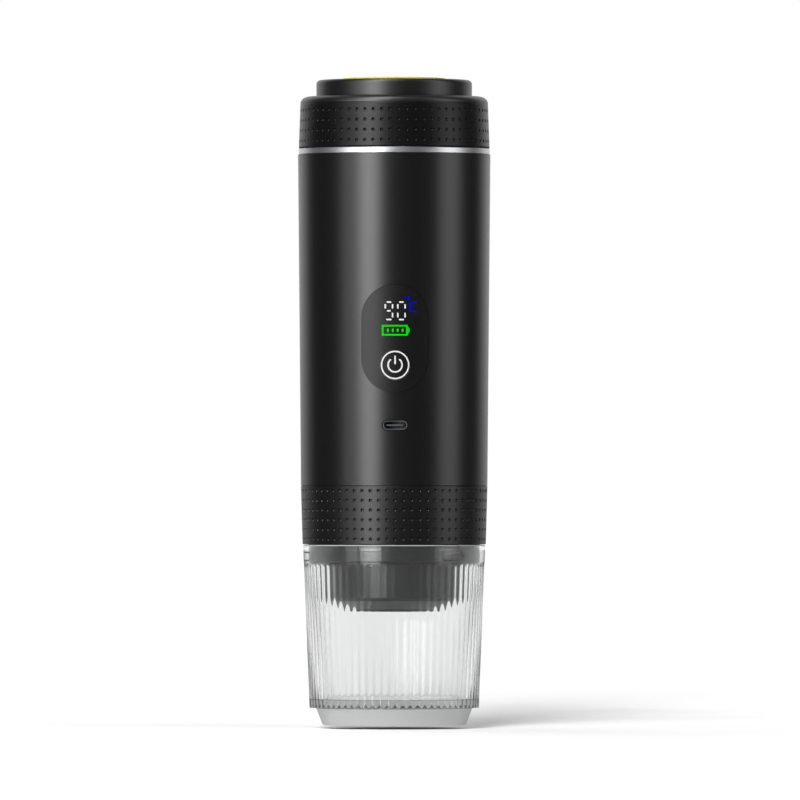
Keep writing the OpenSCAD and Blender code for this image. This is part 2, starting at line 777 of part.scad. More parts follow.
module shower_screw() {
    color([0.7, 0.71, 0.72])
        difference() {
            union() {
                disc(1.5, z_boss, z_boss + shower_screw_l - 0.5);
                disc(3, z_boss - 1.2, z_boss);
            }
            translate([0, 0, z_boss - 2])
                cylinder(r = 1.4, h = 1.6, $fn = 6);
        }
}

module check_valve() {
    color([0.7, 0.7, 0.68])
        translate([outlet_x, pump_y, z_boss + recess_h])
            turned_part([[0.5, -0.6], [1.4, -0.6], [1.8, 0], [valve_r - fit, 0], [valve_r - fit, 1.2], [0.5, 1.2]]);
}

module pump_damper() {
    color([0.1, 0.1, 0.1])
        difference() {
            pump_block(z_deck, z_pump);
            at_pump_screws()
                disc(1.25 + fit, z_deck - 1, z_pump + 1);
            translate([outlet_x, pump_y, 0])
                disc(2.5 + fit, z_deck - 1, z_pump + 1);
        }
}

module outlet_seal() {
    color([0.6, 0.2, 0.12])
        translate([outlet_x, pump_y, 0])
            ring(2.5, 1.2, z_deck, z_pump);
}

module pump_body() {
    color([0.82, 0.8, 0.74])
        difference() {
            pump_block(z_pump, z_cover);
            translate([0, drive_y, 0]) {
                disc(cavity_r, z_cavity, z_cover + 1);
                disc(shaft_d / 2 + run_gap, z_cavity - 2.5, z_cover);
            }
            translate([0, idler_y, 0]) {
                disc(cavity_r, z_cavity, z_cover + 1);
                disc(shaft_d / 2 + fit / 4, z_cavity - 2.5, z_cover);
            }
            at_pump_screws()
                disc(1.25 + fit, z_pump - 1, z_cover + 1);
            translate([outlet_x, pump_y, z_pump - 1])
                cylinder(r = 1.2, h = z_port - z_pump + 1);
            translate([0, pump_y, z_port])
                rotate([0, 90, 0])
                    cylinder(r = 1.1, h = outlet_x);
            translate([-pump_w / 2 - 1, pump_y, z_port])
                rotate([0, 90, 0])
                    cylinder(r = 1.1, h = pump_w / 2 + 1);
        }
}

module pump_cover() {
    color([0.82, 0.8, 0.74])
        difference() {
            pump_block(z_cover, z_bracket);
            translate([0, drive_y, 0]) {
                disc(shaft_d / 2 + run_gap, z_cover - 1, z_bracket + 1);
                disc(seal_r + fit, z_bracket - 1.5, z_bracket + 1);
            }
            translate([0, idler_y, 0])
                disc(shaft_d / 2 + fit / 4, z_cover - 1, z_cover + 1);
            at_pump_screws() {
                disc(1.25 + fit, z_cover - 1, z_bracket + 1);
                translate([0, 0, z_bracket - 1.6])
                    cylinder(r1 = 1.25 + fit, r2 = 2.5 + fit, h = 1.6);
            }
        }
}

module pump_screws() {
    color([0.7, 0.71, 0.72])
        at_pump_screws()
            difference() {
                union() {
                    disc(1.25, z_deck - 2.4, z_bracket - 0.8);
                    translate([0, 0, z_bracket - 1.6])
                        cylinder(r1 = 1.25, r2 = 2.5, h = 1.6);
                }
                translate([0, 0, z_bracket - 1])
                    cylinder(r = 1.1, h = 2, $fn = 6);
            }
}

module idler_pin() {
    color([0.7, 0.71, 0.72])
        translate([0, idler_y, 0])
            disc(shaft_d / 2, z_cavity - 2.4, z_cover + 0.9);
}

module shaft_seal() {
    color([0.1, 0.1, 0.1])
        translate([0, drive_y, 0])
            ring(seal_r, shaft_d / 2 + run_gap, z_bracket - 1.5, z_bracket);
}

module drive_shaft() {
    color([0.7, 0.71, 0.72])
        translate([0, drive_y, 0])
            disc(shaft_d / 2, z_cavity - 2.4, z_motor + motor_l + 3.5);
}

module gear_blank(bore) {
    difference() {
        linear_extrude(height = gear_w)
            polygon(gear());
        translate([0, 0, -1])
            cylinder(r = bore, h = gear_w + 2);
    }
}

module drive_gear() {
    color([0.85, 0.84, 0.8])
        translate([0, drive_y, z_cavity + fit])
            rotate([0, 0, -90])
                gear_blank(shaft_d / 2);
}

module idler_gear() {
    color([0.85, 0.84, 0.8])
        translate([0, idler_y, z_cavity + fit])
            rotate([0, 0, 90 + 180 / gear_teeth])
                gear_blank(shaft_d / 2 + run_gap);
}

module inlet_elbow() {
    color([0.2, 0.2, 0.21])
        translate([hose_x, pump_y, z_port])
            difference() {
                union() {
                    rotate([0, 90, 0])
                        cylinder(r = hose_bore / 2, h = -hose_x - pump_w / 2);
                    sphere(r = hose_bore / 2);
                    cylinder(r = hose_bore / 2 - run_gap, h = 9);
                    translate([0, 0, 2.5])
                        cylinder(d = hose_d, h = 1);
                }
                cylinder(r = hose_bore / 2 - 0.9, h = 10);
                rotate([0, 90, 0])
                    cylinder(r = hose_bore / 2 - 0.9, h = -hose_x);
            }
}

module inlet_hose() {
    color([0.85, 0.85, 0.83])
        translate([hose_x, pump_y, 0])
            ring(hose_d / 2, hose_bore / 2, z_port + 3.5, z_plate);
}

module motor_bracket() {
    color([0.72, 0.73, 0.75])
        translate([0, 0, z_bracket])
            linear_extrude(height = bracket_t)
                difference() {
                    union() {
                        translate([0, drive_y])
                            circle(r = motor_d / 2 + 1);
                        translate([-post_x, post_y - 3.5])
                            square([2 * post_x, 7]);
                        at_posts()
                            circle(r = post_d / 2 + 1.6);
                    }
                    translate([0, drive_y])
                        circle(r = 5 + fit);
                    at_posts()
                        circle(r = post_d / 2 + fit);
                }
}

module pump_motor() {
    color([0.68, 0.69, 0.7])
        translate([0, drive_y, z_motor])
            turned_part([[shaft_d / 2 + run_gap, -1.7], [5, -1.7], [5, 0], [motor_d / 2, 0],
                [motor_d / 2, motor_l - 1], [motor_d / 2 - 1, motor_l], [4.5, motor_l], [4.5, motor_l + 2],
                [shaft_d / 2 + run_gap, motor_l + 2]]);
}

module frame_posts() {
    color([0.72, 0.73, 0.75])
        at_posts()
            difference() {
                union() {
                    disc(post_d / 2, z_deck, z_plate);
                    disc(post_d / 2 - 1, z_deck - 2.4, z_deck + 1);
                }
                disc(1.15 + fit, z_plate - frame_screw_l, z_plate + 1);
            }
}

module frame_screws() {
    color([0.7, 0.71, 0.72])
        at_posts()
            difference() {
                union() {
                    disc(1.15, z_plate - frame_screw_l + 1, z_plate1);
                    disc(2.7, z_plate1, z_plate1 + 1.8);
                }
                translate([0, 0, z_plate1 + 0.8])
                    cylinder(r = 1.4, h = 2, $fn = 6);
            }
}

module top_plate() {
    color([0.16, 0.16, 0.17])
        difference() {
            disc(shell_r(z_plate) - fit, z_plate, z_plate1);
            at_posts()
                disc(1.15 + fit, z_plate - 1, z_plate1 + 1);
            translate([hose_x, pump_y, 0])
                disc(hose_bore / 2 + fit, z_plate - 1, z_plate1 + 1);
        }
}

module battery_cells() {
    color([0.1, 0.35, 0.6])
        at_cells()
            disc(cell_d / 2, z_deck + tray_floor, z_plate - tray_floor);
}

module tray_lower() {
    color([0.16, 0.16, 0.17])
        tray(z_deck, z_deck + tray_floor, z_deck + tray_t + 1);
}

module tray_upper() {
    color([0.16, 0.16, 0.17])
        tray(z_plate - tray_t, z_plate - tray_t - 1, z_plate - tray_floor);
}

module heater_pad() {
    color([0.75, 0.74, 0.7])
        difference() {
            disc(heater_d / 2, z_plate1, z_heater);
            translate([sensor_x, 0, 0])
                disc(sensor_d / 2 + fit, z_plate1 - 1, z_heater + 1);
        }
}

module heater_plate() {
    color([0.6, 0.6, 0.6])
        disc(heater_d / 2, z_heater, z_tank);
}

module temp_sensor() {
    color([0.15, 0.15, 0.15])
        translate([sensor_x, 0, 0])
            disc(sensor_d / 2, z_plate1, z_heater);
}

module water_tank() {
    color([0.75, 0.76, 0.77])
        difference() {
            turned_part([[0, z_tank], [tank_r - 2, z_tank], [tank_r, z_tank + 2], [tank_r, z_tank1],
                [tank_r - tank_wall, z_tank1], [tank_r - tank_wall, z_tank + tank_wall + 1.6],
                [tank_r - tank_wall - 1.6, z_tank + tank_wall], [0, z_tank + tank_wall]]);
            translate([hose_x, pump_y, 0])
                disc(hose_bore / 2 + fit, z_tank - 1, z_tank + tank_wall + 1);
        }
}

module tank_outlet() {
    color([0.7, 0.71, 0.72])
        translate([hose_x, pump_y, 0])
            difference() {
                union() {
                    disc(hose_bore / 2 - run_gap, z_plate - 6, z_tank + tank_wall);
                    disc(hose_bore / 2 + 2, z_tank + tank_wall, z_tank + tank_wall + 1);
                }
                disc(hose_bore / 2 - 0.9, z_plate - 7, z_tank + tank_wall + 2);
            }
}

module tank_seal() {
    color([0.6, 0.2, 0.12])
        ring(seal_out_r - fit, seal_in_r + fit, z_tank1, z_tank1 + tank_seal_t);
}

module tank_collar() {
    color([0.1, 0.1, 0.11])
        turned_part([[mouth_in_r, z_flange0], [seal_in_r, z_flange0], [seal_in_r, z_tank1 + tank_seal_t],
            [seal_out_r, z_tank1 + tank_seal_t], [seal_out_r, z_flange0], [shell_r(z_flange0) - fit, z_flange0],
            [shell_r(z_flange0) - fit, z_body1], [mouth_r, z_body1], [mouth_r, z_mouth1 - 0.6],
            [mouth_r - 0.6, z_mouth1], [mouth_in_r, z_mouth1]]);
}

module lid_gasket() {
    color([0.6, 0.2, 0.12])
        ring(mouth_r, mouth_in_r + 0.4, z_mouth1 + fit, z_liner);
}

module lid_shell() {
    color([0.08, 0.08, 0.085])
        turned_part(concat([[cap_plug_d / 2 + fit, z_lid1 - roof_t], [lid_in_r, z_lid1 - roof_t], [lid_in_r, z_lid],
            [lid_core_r, z_lid], [lid_core_r, z_grip1]],
            arc([lid_top_d / 2 - shoulder_w, z_grip1], shoulder_w, shoulder_h, 0, 90, 8),
            [[cap_plug_d / 2 + fit, z_lid1]]));
}

module lid_grip() {
    color([0.12, 0.12, 0.13])
        difference() {
            turned_part([[lid_core_r, z_lid], [lid_base_d / 2, z_lid], [lid_top_d / 2, z_grip1],
                [lid_core_r, z_grip1]]);
            dots(lid_base_d / 2, z_lid, lid_top_d / 2, z_grip1, lid_rows, lid_row_start, lid_row_pitch, 0.4);
        }
}

module lid_liner() {
    color([0.2, 0.2, 0.21])
        turned_part([[vent_d / 2 + fit, z_liner], [liner_in_r, z_liner], [liner_in_r, z_lid + parting],
            [liner_r, z_lid + parting], [liner_r, z_lid1 - roof_t], [liner_in_r, z_lid1 - roof_t],
            [liner_in_r, z_liner + roof_t], [vent_d / 2 + fit, z_liner + roof_t]]);
}

module lid_cap() {
    color([0.08, 0.08, 0.085])
        difference() {
            turned_part(concat([[cap_plug_d / 2 - 2.4, z_lid1 - roof_t - 1.1], [cap_plug_d / 2 + 0.6, z_lid1 - roof_t - 1.1],
                [cap_plug_d / 2 + 0.6, z_lid1 - roof_t - fit], [cap_plug_d / 2, z_lid1 - roof_t - fit],
                [cap_plug_d / 2, z_cap1 - 2 * cap_wall - 0.4], [cap_d / 2 - cap_wall, z_cap1 - 2 * cap_wall - 0.4],
                [cap_d / 2 - cap_wall, z_lid1], [cap_d / 2, z_lid1]],
                arc([cap_d / 2 - cap_edge, z_cap1 - cap_edge], cap_edge, cap_edge, 0, 90),
                [[0, z_cap1], [0, z_cap1 - 2 * cap_wall - 0.4], [cap_plug_d / 2 - 2.4, z_cap1 - 2 * cap_wall - 0.4]]));
            disc(inlay_d / 2 + fit, z_cap1 - inlay_seat, z_cap1 + 1);
        }
}

module lid_inlay() {
    half = inlay_d / 2;
    color([0.9, 0.92, 0.35])
        turned_part(concat([[0, z_cap1 - inlay_seat], [half, z_cap1 - inlay_seat]],
            arc([0, z_cap1 + inlay_edge], half, inlay_dome, 0, 90, 10)));
}

module vent_valve() {
    color([0.7, 0.7, 0.68])
        turned_part([[0, z_liner - 1.4], [1.6, z_liner - 1.4], [vent_d / 2 + 0.8, z_liner], [vent_d / 2, z_liner],
            [vent_d / 2, z_liner + roof_t], [vent_d / 2 + 2, z_liner + roof_t], [vent_d / 2 + 1.4, z_liner + roof_t + 1],
            [0, z_liner + roof_t + 1]]);
}

outer_shell();
trim_ring();
display_panel();
button_ring();
display_module();
main_board();
tact_switch();
usb_port();
usb_tongue();
group_head();
shower_plate();
shower_screw();
check_valve();
pump_damper();
pump_body();
pump_cover();
pump_screws();
idler_pin();
shaft_seal();
outlet_seal();
inlet_elbow();
inlet_hose();
motor_bracket();
pump_motor();
frame_posts();
frame_screws();
top_plate();
battery_cells();
tray_lower();
tray_upper();
heater_pad();
heater_plate();
temp_sensor();
water_tank();
tank_outlet();
tank_seal();
tank_collar();
power_button();
switch_plunger();
drive_shaft();
drive_gear();
idler_gear();
lid_gasket();
lid_shell();
lid_grip();
lid_liner();
lid_cap();
lid_inlay();
vent_valve();
basket_gasket();
brew_collar();
head_grip();
brew_chamber();
filter_basket();
spout_valve();
spout_cap();
cup();
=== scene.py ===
"""Portable espresso maker: looks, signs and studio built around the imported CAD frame.

Every length that comes from the object is in millimetres and is turned to metres where a mesh is made.
"""

from __future__ import annotations

import json
import logging
import math
from dataclasses import dataclass, field
from enum import Enum
from typing import Any, Callable, Sequence

import bmesh
import bpy
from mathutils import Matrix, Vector

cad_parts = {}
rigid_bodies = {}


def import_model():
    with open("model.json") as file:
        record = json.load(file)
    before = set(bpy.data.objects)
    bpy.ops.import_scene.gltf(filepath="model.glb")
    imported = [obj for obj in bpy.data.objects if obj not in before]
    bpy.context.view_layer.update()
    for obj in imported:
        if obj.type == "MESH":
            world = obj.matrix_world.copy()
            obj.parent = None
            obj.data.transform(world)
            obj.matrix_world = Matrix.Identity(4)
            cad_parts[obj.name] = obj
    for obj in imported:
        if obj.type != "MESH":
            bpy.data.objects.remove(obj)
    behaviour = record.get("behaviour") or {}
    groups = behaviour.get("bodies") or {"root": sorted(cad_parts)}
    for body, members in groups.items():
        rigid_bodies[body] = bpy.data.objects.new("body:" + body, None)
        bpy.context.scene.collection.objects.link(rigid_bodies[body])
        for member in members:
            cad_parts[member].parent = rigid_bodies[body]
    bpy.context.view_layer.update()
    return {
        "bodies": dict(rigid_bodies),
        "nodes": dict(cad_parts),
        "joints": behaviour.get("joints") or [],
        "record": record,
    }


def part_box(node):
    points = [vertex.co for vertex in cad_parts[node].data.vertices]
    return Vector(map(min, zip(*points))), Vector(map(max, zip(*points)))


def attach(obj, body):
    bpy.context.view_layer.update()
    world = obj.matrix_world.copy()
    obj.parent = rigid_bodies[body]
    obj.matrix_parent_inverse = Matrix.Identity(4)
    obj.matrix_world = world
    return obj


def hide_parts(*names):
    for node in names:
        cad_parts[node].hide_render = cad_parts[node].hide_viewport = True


LOG = logging.getLogger("espresso_maker")
MM = 0.001

Point2 = tuple[float, float]
Point3 = tuple[float, float, float]
Radius = Callable[[float], float]
Tree = bpy.types.NodeTree
Socket = bpy.types.NodeSocket

WHITE = "#ffffff"
# What a thick piece of the clear plastic lets through.
CLEAR_DEEP = "#bcbcbc"
# Where in the noise the grain's colours and its gloss start and end.
TINT_STOPS = (0.35, 0.65)
GLOSS_STOPS = (0.3, 0.7)
# Least cosine between a facet and the way out from the axis, for a facet of a turned outside.
FACES_OUT = 0.97
# Points nearer than this, in metres, become one.
WELD = 1e-7
# Energy for each square metre of an area lamp that makes its face white.
WHITE_FACE = 4.0
# Blender's Mix node keeps its two vector inputs and its vector output at these places.
MIX_A, MIX_B, MIX_RESULT = 4, 5, 1


def linear(hex_colour: str) -> tuple[float, float, float, float]:
    """Turns an sRGB hex colour to linear.

    Args:
        hex_colour: Colour such as "#1a1b1c".

    Returns:
        Linear red, green, blue and an alpha of 1.
    """
    raw = hex_colour.lstrip("#")
    parts = [int(raw[i : i + 2], 16) / 255 for i in (0, 2, 4)]
    red, green, blue = (c / 12.92 if c <= 0.04045 else ((c + 0.055) / 1.055) ** 2.4 for c in parts)
    return red, green, blue, 1.0


def add_node(tree: Tree, kind: str, settings: dict[str | int, Any] | None = None) -> bpy.types.Node:
    """Adds a shader node with its settings and links.

    Args:
        tree: Node tree that takes the node.
        kind: Blender's name of the node type, after ShaderNode.
        settings: Attributes by name, or inputs by name or place, with a value or the output that feeds it.

    Returns:
        The new node.
    """
    made = tree.nodes.new("ShaderNode" + kind)
    for key, value in (settings or {}).items():
        if isinstance(value, Socket):
            tree.links.new(value, made.inputs[key])
        elif isinstance(key, str) and hasattr(made, key):
            setattr(made, key, value)
        else:
            made.inputs[key].default_value = value
    return made


def combine(tree: Tree, operation: str, first: Socket, second: Socket | float) -> Socket:
    """Adds a math node for a socket and another socket or a number, and gives the socket with its result."""
    return add_node(tree, "Math", {"operation": operation, 0: first, 1: second}).outputs["Value"]


def soft_step(tree: Tree, value: Socket, span: Point2, low: float = 0.0) -> Socket:
    """Adds a soft step over a span, from a low level up to 1, and gives the socket with its result."""
    limits = {"From Min": span[0], "From Max": span[1], "To Min": low, "Value": value}
    return add_node(tree, "MapRange", {"interpolation_type": "SMOOTHSTEP", **limits}).outputs["Result"]


def way_back(tree: Tree, space: str) -> Socket:
    """Gives a socket with the Y of a place, in one of Blender's texture spaces."""
    place = add_node(tree, "TexCoord").outputs[space]
    return add_node(tree, "SeparateXYZ", {"Vector": place}).outputs["Y"]


def blend(tree: Tree, value: Socket, stops: Point2, colours: tuple[str, str]) -> Socket:
    """Adds a ramp between two colours.

    Args:
        tree: Node tree that takes the node.
        value: Socket that feeds it.
        stops: Where the ramp starts and ends.
        colours: Its two colours, sRGB hex.

    Returns:
        The socket with the colour.
    """
    made = add_node(tree, "ValToRGB", {"Fac": value})
    for stop, position, colour in zip(made.color_ramp.elements, stops, colours):
        stop.position = position
        stop.color = linear(colour)
    return made.outputs["Color"]


def cleared(owner: bpy.types.Material | bpy.types.World) -> Tree:
    """Gives a new material or world an empty node tree.

    Args:
        owner: The material or world.

    Returns:
        Its node tree.
    """
    owner.use_nodes = True
    owner.node_tree.nodes.clear()
    return owner.node_tree


def outward(tree: Tree, place: Socket) -> Socket:
    """Gives the way out from the Z axis on a turned outside, and the solid's own normal elsewhere.

    Args:
        tree: Node tree that takes the nodes.
        place: Socket with the place on the object.

    Returns:
        A socket with the normal.
    """
    solid = add_node(tree, "NewGeometry").outputs
    flat = add_node(tree, "VectorMath", {"operation": "MULTIPLY", 0: place, 1: (1.0, 1.0, 0.0)})
    unit = add_node(tree, "VectorMath", {"operation": "NORMALIZE", 0: flat.outputs["Vector"]})
    out = unit.outputs["Vector"]
    along = add_node(tree, "VectorMath", {"operation": "DOT_PRODUCT", 0: out, 1: solid["True Normal"]})
    outside = combine(tree, "GREATER_THAN", along.outputs["Value"], FACES_OUT)
    ends = {"data_type": "VECTOR", "Factor": outside, MIX_A: solid["Normal"], MIX_B: out}
    return add_node(tree, "Mix", ends).outputs[MIX_RESULT]


class Surface(Enum):
    """How a surface was made, as the stretch of its grain along X, Y and Z."""

    MOULDED = (1.0, 1.0, 1.0)
    TURNED = (0.05, 0.05, 1.0)
    DRAWN = (1.0, 1.0, 0.04)


@dataclass(frozen=True)
class Finish:
    """A material with a grain that moves its colour, gloss and relief.

    Attributes:
        name: Common name of the material and how its surface was made.
        colour: Main colour, or the tint of the light that passes, sRGB hex.
        shade: Colour in the low places of the grain, sRGB hex.
        roughness: Middle roughness.
        spread: How far the roughness moves either side of the middle.
        grain_mm: Size of the grain.
        relief_mm: Height of the grain.
        surface: How the surface was made.
        metallic: 1 for a bare metal.
        specular: Specular level of the shader.
        glow: Strength of its own light, in its main colour.
        turned: Whether its gloss follows a form turned about Z, where a solid's own facets are long.
        ior: Index of refraction, left alone for metals.
        noise: Detail and roughness of the grain's noise.
        haze: Share of the light that the outer side of a clear plastic spreads.
        density: How fast a clear plastic swallows light along its way, per metre; 0 for what is not clear.
    """

    name: str
    colour: str
    shade: str
    roughness: float
    spread: float
    grain_mm: float
    relief_mm: float
    surface: Surface = Surface.MOULDED
    metallic: float = 0.0
    specular: float = 0.5
    glow: float = 0.0
    turned: bool = False
    ior: float = 1.5
    noise: Point2 = (3.0, 0.55)
    haze: float = 0.0
    density: float = 0.0

    def paint(self, tree: Tree) -> None:
        """Fills the material's node tree.

        Args:
            tree: The empty node tree.
        """
        place = add_node(tree, "TexCoord").outputs["Object"]
        mapped = add_node(tree, "Mapping", {"Scale": self.surface.value, "Vector": place}).outputs["Vector"]
        detail, rough = self.noise
        grain = {"Scale": 1 / (self.grain_mm * MM), "Detail": detail, "Roughness": rough, "Vector": mapped}
        height = add_node(tree, "TexNoise", grain).outputs["Fac"]
        gloss = {"From Min": GLOSS_STOPS[0], "From Max": GLOSS_STOPS[1], "Value": height}
        gloss |= {"To Min": self.roughness - self.spread, "To Max": self.roughness + self.spread}
        relief = {"Strength": 1.0, "Distance": self.relief_mm * MM, "Height": height}
        if self.turned:
            relief["Normal"] = outward(tree, place)
        settings: dict[str, Any] = {"Metallic": self.metallic, "Specular IOR Level": self.specular}
        settings["Roughness"] = add_node(tree, "MapRange", gloss).outputs["Result"]
        settings["Normal"] = add_node(tree, "Bump", relief).outputs["Normal"]
        settings["Base Color"] = linear(self.colour)
        if self.shade != self.colour:
            settings["Base Color"] = blend(tree, height, TINT_STOPS, (self.shade, self.colour))
        if self.metallic == 0:
            settings["IOR"] = self.ior
        if self.glow > 0:
            settings |= {"Emission Color": linear(self.colour), "Emission Strength": self.glow}
        ends = {}
        if self.density > 0:
            clear = {"To Min": 1 - self.haze, "Value": add_node(tree, "NewGeometry").outputs["Backfacing"]}
            settings["Transmission Weight"] = add_node(tree, "MapRange", clear).outputs["Result"]
            deep = {"Color": linear(CLEAR_DEEP), "Density": self.density}
            ends["Volume"] = add_node(tree, "VolumeAbsorption", deep).outputs["Volume"]
        ends["Surface"] = add_node(tree, "BsdfPrincipled", settings).outputs["BSDF"]
        add_node(tree, "OutputMaterial", ends)

    def material(self) -> bpy.types.Material:
        """Builds the material once and gives it back each time.

        Returns:
            The Blender material.
        """
        made = bpy.data.materials.get(self.name)
        if made is None:
            made = bpy.data.materials.new(self.name)
            self.paint(cleared(made))
        return made


# Satin lacquer over ABS: a soft wide highlight with a faint orange peel.
SHELL = Finish(
    "ABS_satin_lacquer_black", "#0b0b0c", "#09090a", 0.31, 0.02, 0.6, 0.0012, specular=0.67, turned=True
)
# Moulded ABS from a fine-stoned mould: as dark as the shell, a little drier.
LID = Finish("ABS_stoned_mould_black", "#0c0c0d", "#0a0a0b", 0.37, 0.03, 0.5, 0.0015, specular=0.76)
# Moulded ABS from a spark-eroded mould: a dry, slightly sparkling grain that helps the grip.
GRIP = Finish("ABS_spark_eroded_black", "#0a0a0b", "#08080a", 0.34, 0.04, 0.35, 0.0025, specular=0.32)
# The same mould surface on the brew head's nylon, which keeps a little more shine.
HEAD_GRIP = Finish("nylon_spark_eroded_black", "#0a0a0b", "#08080a", 0.33, 0.04, 0.35, 0.0025, specular=0.69)
# Moulded polysulfone of the brewing parts: even satin black that takes boiling water.
HEAD = Finish("polysulfone_moulded_black", "#101011", "#0d0d0e", 0.38, 0.04, 0.8, 0.001, specular=1.0)
# Glass-filled nylon inside the body: dull, with a faint grey streak of fibres.
INNER = Finish("nylon_glass_filled_black", "#1d1d1f", "#151517", 0.6, 0.08, 0.7, 0.01)
# Hard-coated smoked polycarbonate over the display: black, with a calm broad reflection.
PANEL = Finish("polycarbonate_hard_coated_smoke", "#09090a", "#070708", 0.4, 0.01, 1.5, 0.0005, specular=0.44)
# Light guide of diffusing polycarbonate, lit from behind: an even white ring.
LIGHT = Finish(
    "polycarbonate_light_guide_white", "#cccdcf", "#c2c4c6", 0.4, 0.03, 0.4, 0.001, specular=0.1, glow=0.15
)
# Printed light windows: white, blue and green segments lit by diodes behind the panel.
LIT_WHITE = Finish(
    "diode_window_white", "#cccccc", "#c2c2c4", 0.45, 0.03, 0.25, 0.001, specular=0.1, glow=0.15
)
LIT_BLUE = Finish("diode_window_blue", "#0000c4", "#0000b4", 0.6, 0.03, 0.25, 0.001, specular=0.02, glow=0.3)
LIT_GREEN = Finish(
    "diode_window_green", "#00b800", "#00a800", 0.6, 0.03, 0.25, 0.001, specular=0.02, glow=0.4
)
# Turned and plated zinc: bright, with turning marks around the ring.
TRIM = Finish(
    "zinc_turned_bright_plated", "#e6e7e9", "#dcdddf", 0.37, 0.02, 0.25, 0.0004, Surface.TURNED, metallic=1.0
)
# Deep-drawn tin-plated steel of the charging socket: grey, with draw marks into the body.
PORT = Finish(
    "steel_drawn_tin_plated", "#7d7f82", "#717376", 0.52, 0.05, 0.3, 0.001, Surface.DRAWN, metallic=1.0
)
# Liquid crystal polymer at the nose of the socket's tongue: dull mid grey.
TONGUE = Finish("liquid_crystal_polymer_grey", "#56585a", "#4d4f51", 0.5, 0.05, 0.4, 0.002)
# Gold flash over the socket's contacts: small warm glints.
GOLD = Finish("copper_gold_flash", "#d9b45a", "#c9a047", 0.3, 0.04, 0.2, 0.001, metallic=1.0)
# Moulded ABS of the inlay: clean greenish yellow with a satin skin.
INLAY = Finish("ABS_moulded_yellow", "#f4f02a", "#ece824", 0.4, 0.04, 0.7, 0.001)
# Cold-rolled stainless steel, brushed: a bright streaked sheen.
STEEL = Finish(
    "stainless_brushed", "#c6c7c8", "#aeb0b1", 0.32, 0.06, 0.3, 0.003, Surface.TURNED, metallic=1.0
)
# Mill-finish aluminium: paler and duller than the steel, with rolling marks.
ALUMINIUM = Finish(
    "aluminium_mill", "#c9cacb", "#b4b6b8", 0.42, 0.06, 0.4, 0.004, Surface.DRAWN, metallic=1.0
)
# Zinc-plated deep-drawn steel of the motor's can: grey, faintly mottled.
MOTOR = Finish("steel_zinc_plated", "#a5a8aa", "#8f9294", 0.4, 0.06, 0.8, 0.003, metallic=1.0)
# Shrunk film around the cells: dark blue, glossy, faintly wrinkled.
CELL = Finish("PVC_shrink_film_blue", "#1e4a86", "#183d70", 0.28, 0.06, 2.5, 0.03)
# Solder mask over copper tracks: dark green, softly uneven.
BOARD = Finish("epoxy_glass_solder_mask", "#155a2e", "#0f4522", 0.36, 0.06, 0.9, 0.01)
# Acetal of the gear pump: ivory, waxy.
PUMP = Finish("acetal_moulded_ivory", "#e2dcc8", "#d6cfb9", 0.42, 0.05, 1.2, 0.004)
# Red silicone of the seals: matt, with a trace of talc.
SEAL = Finish("silicone_moulded_red", "#9c3324", "#87291c", 0.62, 0.08, 0.5, 0.006)
# Undyed silicone of hose and valves: milky and matt.
SILICONE = Finish("silicone_extruded_milky", "#dcdcd6", "#cfcfc8", 0.5, 0.06, 0.8, 0.004)
# Nitrile rubber: matt black with a bloom. The same black also makes the painted shade in the parting gap and
# around the charging socket.
RUBBER_AND_GAP_SHADE = Finish("nitrile_rubber_black_and_gap_shade", "#101010", "#0c0c0c", 0.7, 0.08, 0.5, 0.004, specular=0.2)
# Needled ceramic felt under the heater: pale, rough and dry.
FELT = Finish("ceramic_felt_grey", "#bdb9ae", "#a39f94", 0.9, 0.05, 0.5, 0.06)
# Dipped epoxy of the sensor bead: a wet-looking black drop.
EPOXY = Finish("epoxy_dipped_black", "#171718", "#101011", 0.3, 0.04, 1.0, 0.004)
# Clear copolyester of the cup: it shows what is behind, turns grey where it is thick, has faint flow marks.
CUP = Finish(
    "copolyester_moulded_clear", "#fafbfb", "#fafbfb", 0.055, 0.005, 2.0, 0.0002, Surface.DRAWN,
    ior=1.45, noise=(2.0, 0.5), haze=0.025, density=30.0,
)
# The same plastic from blasted parts of the mould, at the foot and the rim: frosted, it holds the light.
FROST = Finish(
    "copolyester_blasted_frost", "#d2d4d4", "#d2d4d4", 0.45, 0.005, 0.8, 0.001, Surface.DRAWN,
    ior=1.45, noise=(2.0, 0.5), haze=0.75, density=22.0,
)

SLOT_FINISH: dict[str, Finish] = {
    "shell_black": SHELL,
    "lid_black": LID,
    "grip_black": GRIP,
    "head_black": HEAD,
    "inner_black": INNER,
    "panel_gloss": PANEL,
    "light_white": LIGHT,
    "trim_chrome": TRIM,
    "port_steel": PORT,
    "inlay_yellow": INLAY,
    "cup_clear": CUP,
    "steel": STEEL,
    "aluminium": ALUMINIUM,
    "motor_can": MOTOR,
    "cell_wrap": CELL,
    "board_green": BOARD,
    "pump_ivory": PUMP,
    "seal_red": SEAL,
    "silicone_white": SILICONE,
    "rubber_black": RUBBER_AND_GAP_SHADE,
    "pad_grey": FELT,
    "sensor_black": EPOXY,
}


def polar(radius: float, angle: float, z: float) -> Point3:
    """Gives a point around the axis, at an angle from the front towards the right, in radians."""
    return radius * math.sin(angle), -radius * math.cos(angle), z


def plain(radius: float) -> Radius:
    """Gives a radius that is the same all round."""
    return lambda angle: radius


def arc(middle: Point2, radius: float, start: float, end: float, steps: int) -> list[Point2]:
    """Gives points along an arc with both its ends, by angles in degrees from the top towards the right."""
    turns = [math.radians(start + (end - start) * k / steps) for k in range(steps + 1)]
    return [(middle[0] + radius * math.sin(t), middle[1] + radius * math.cos(t)) for t in turns]


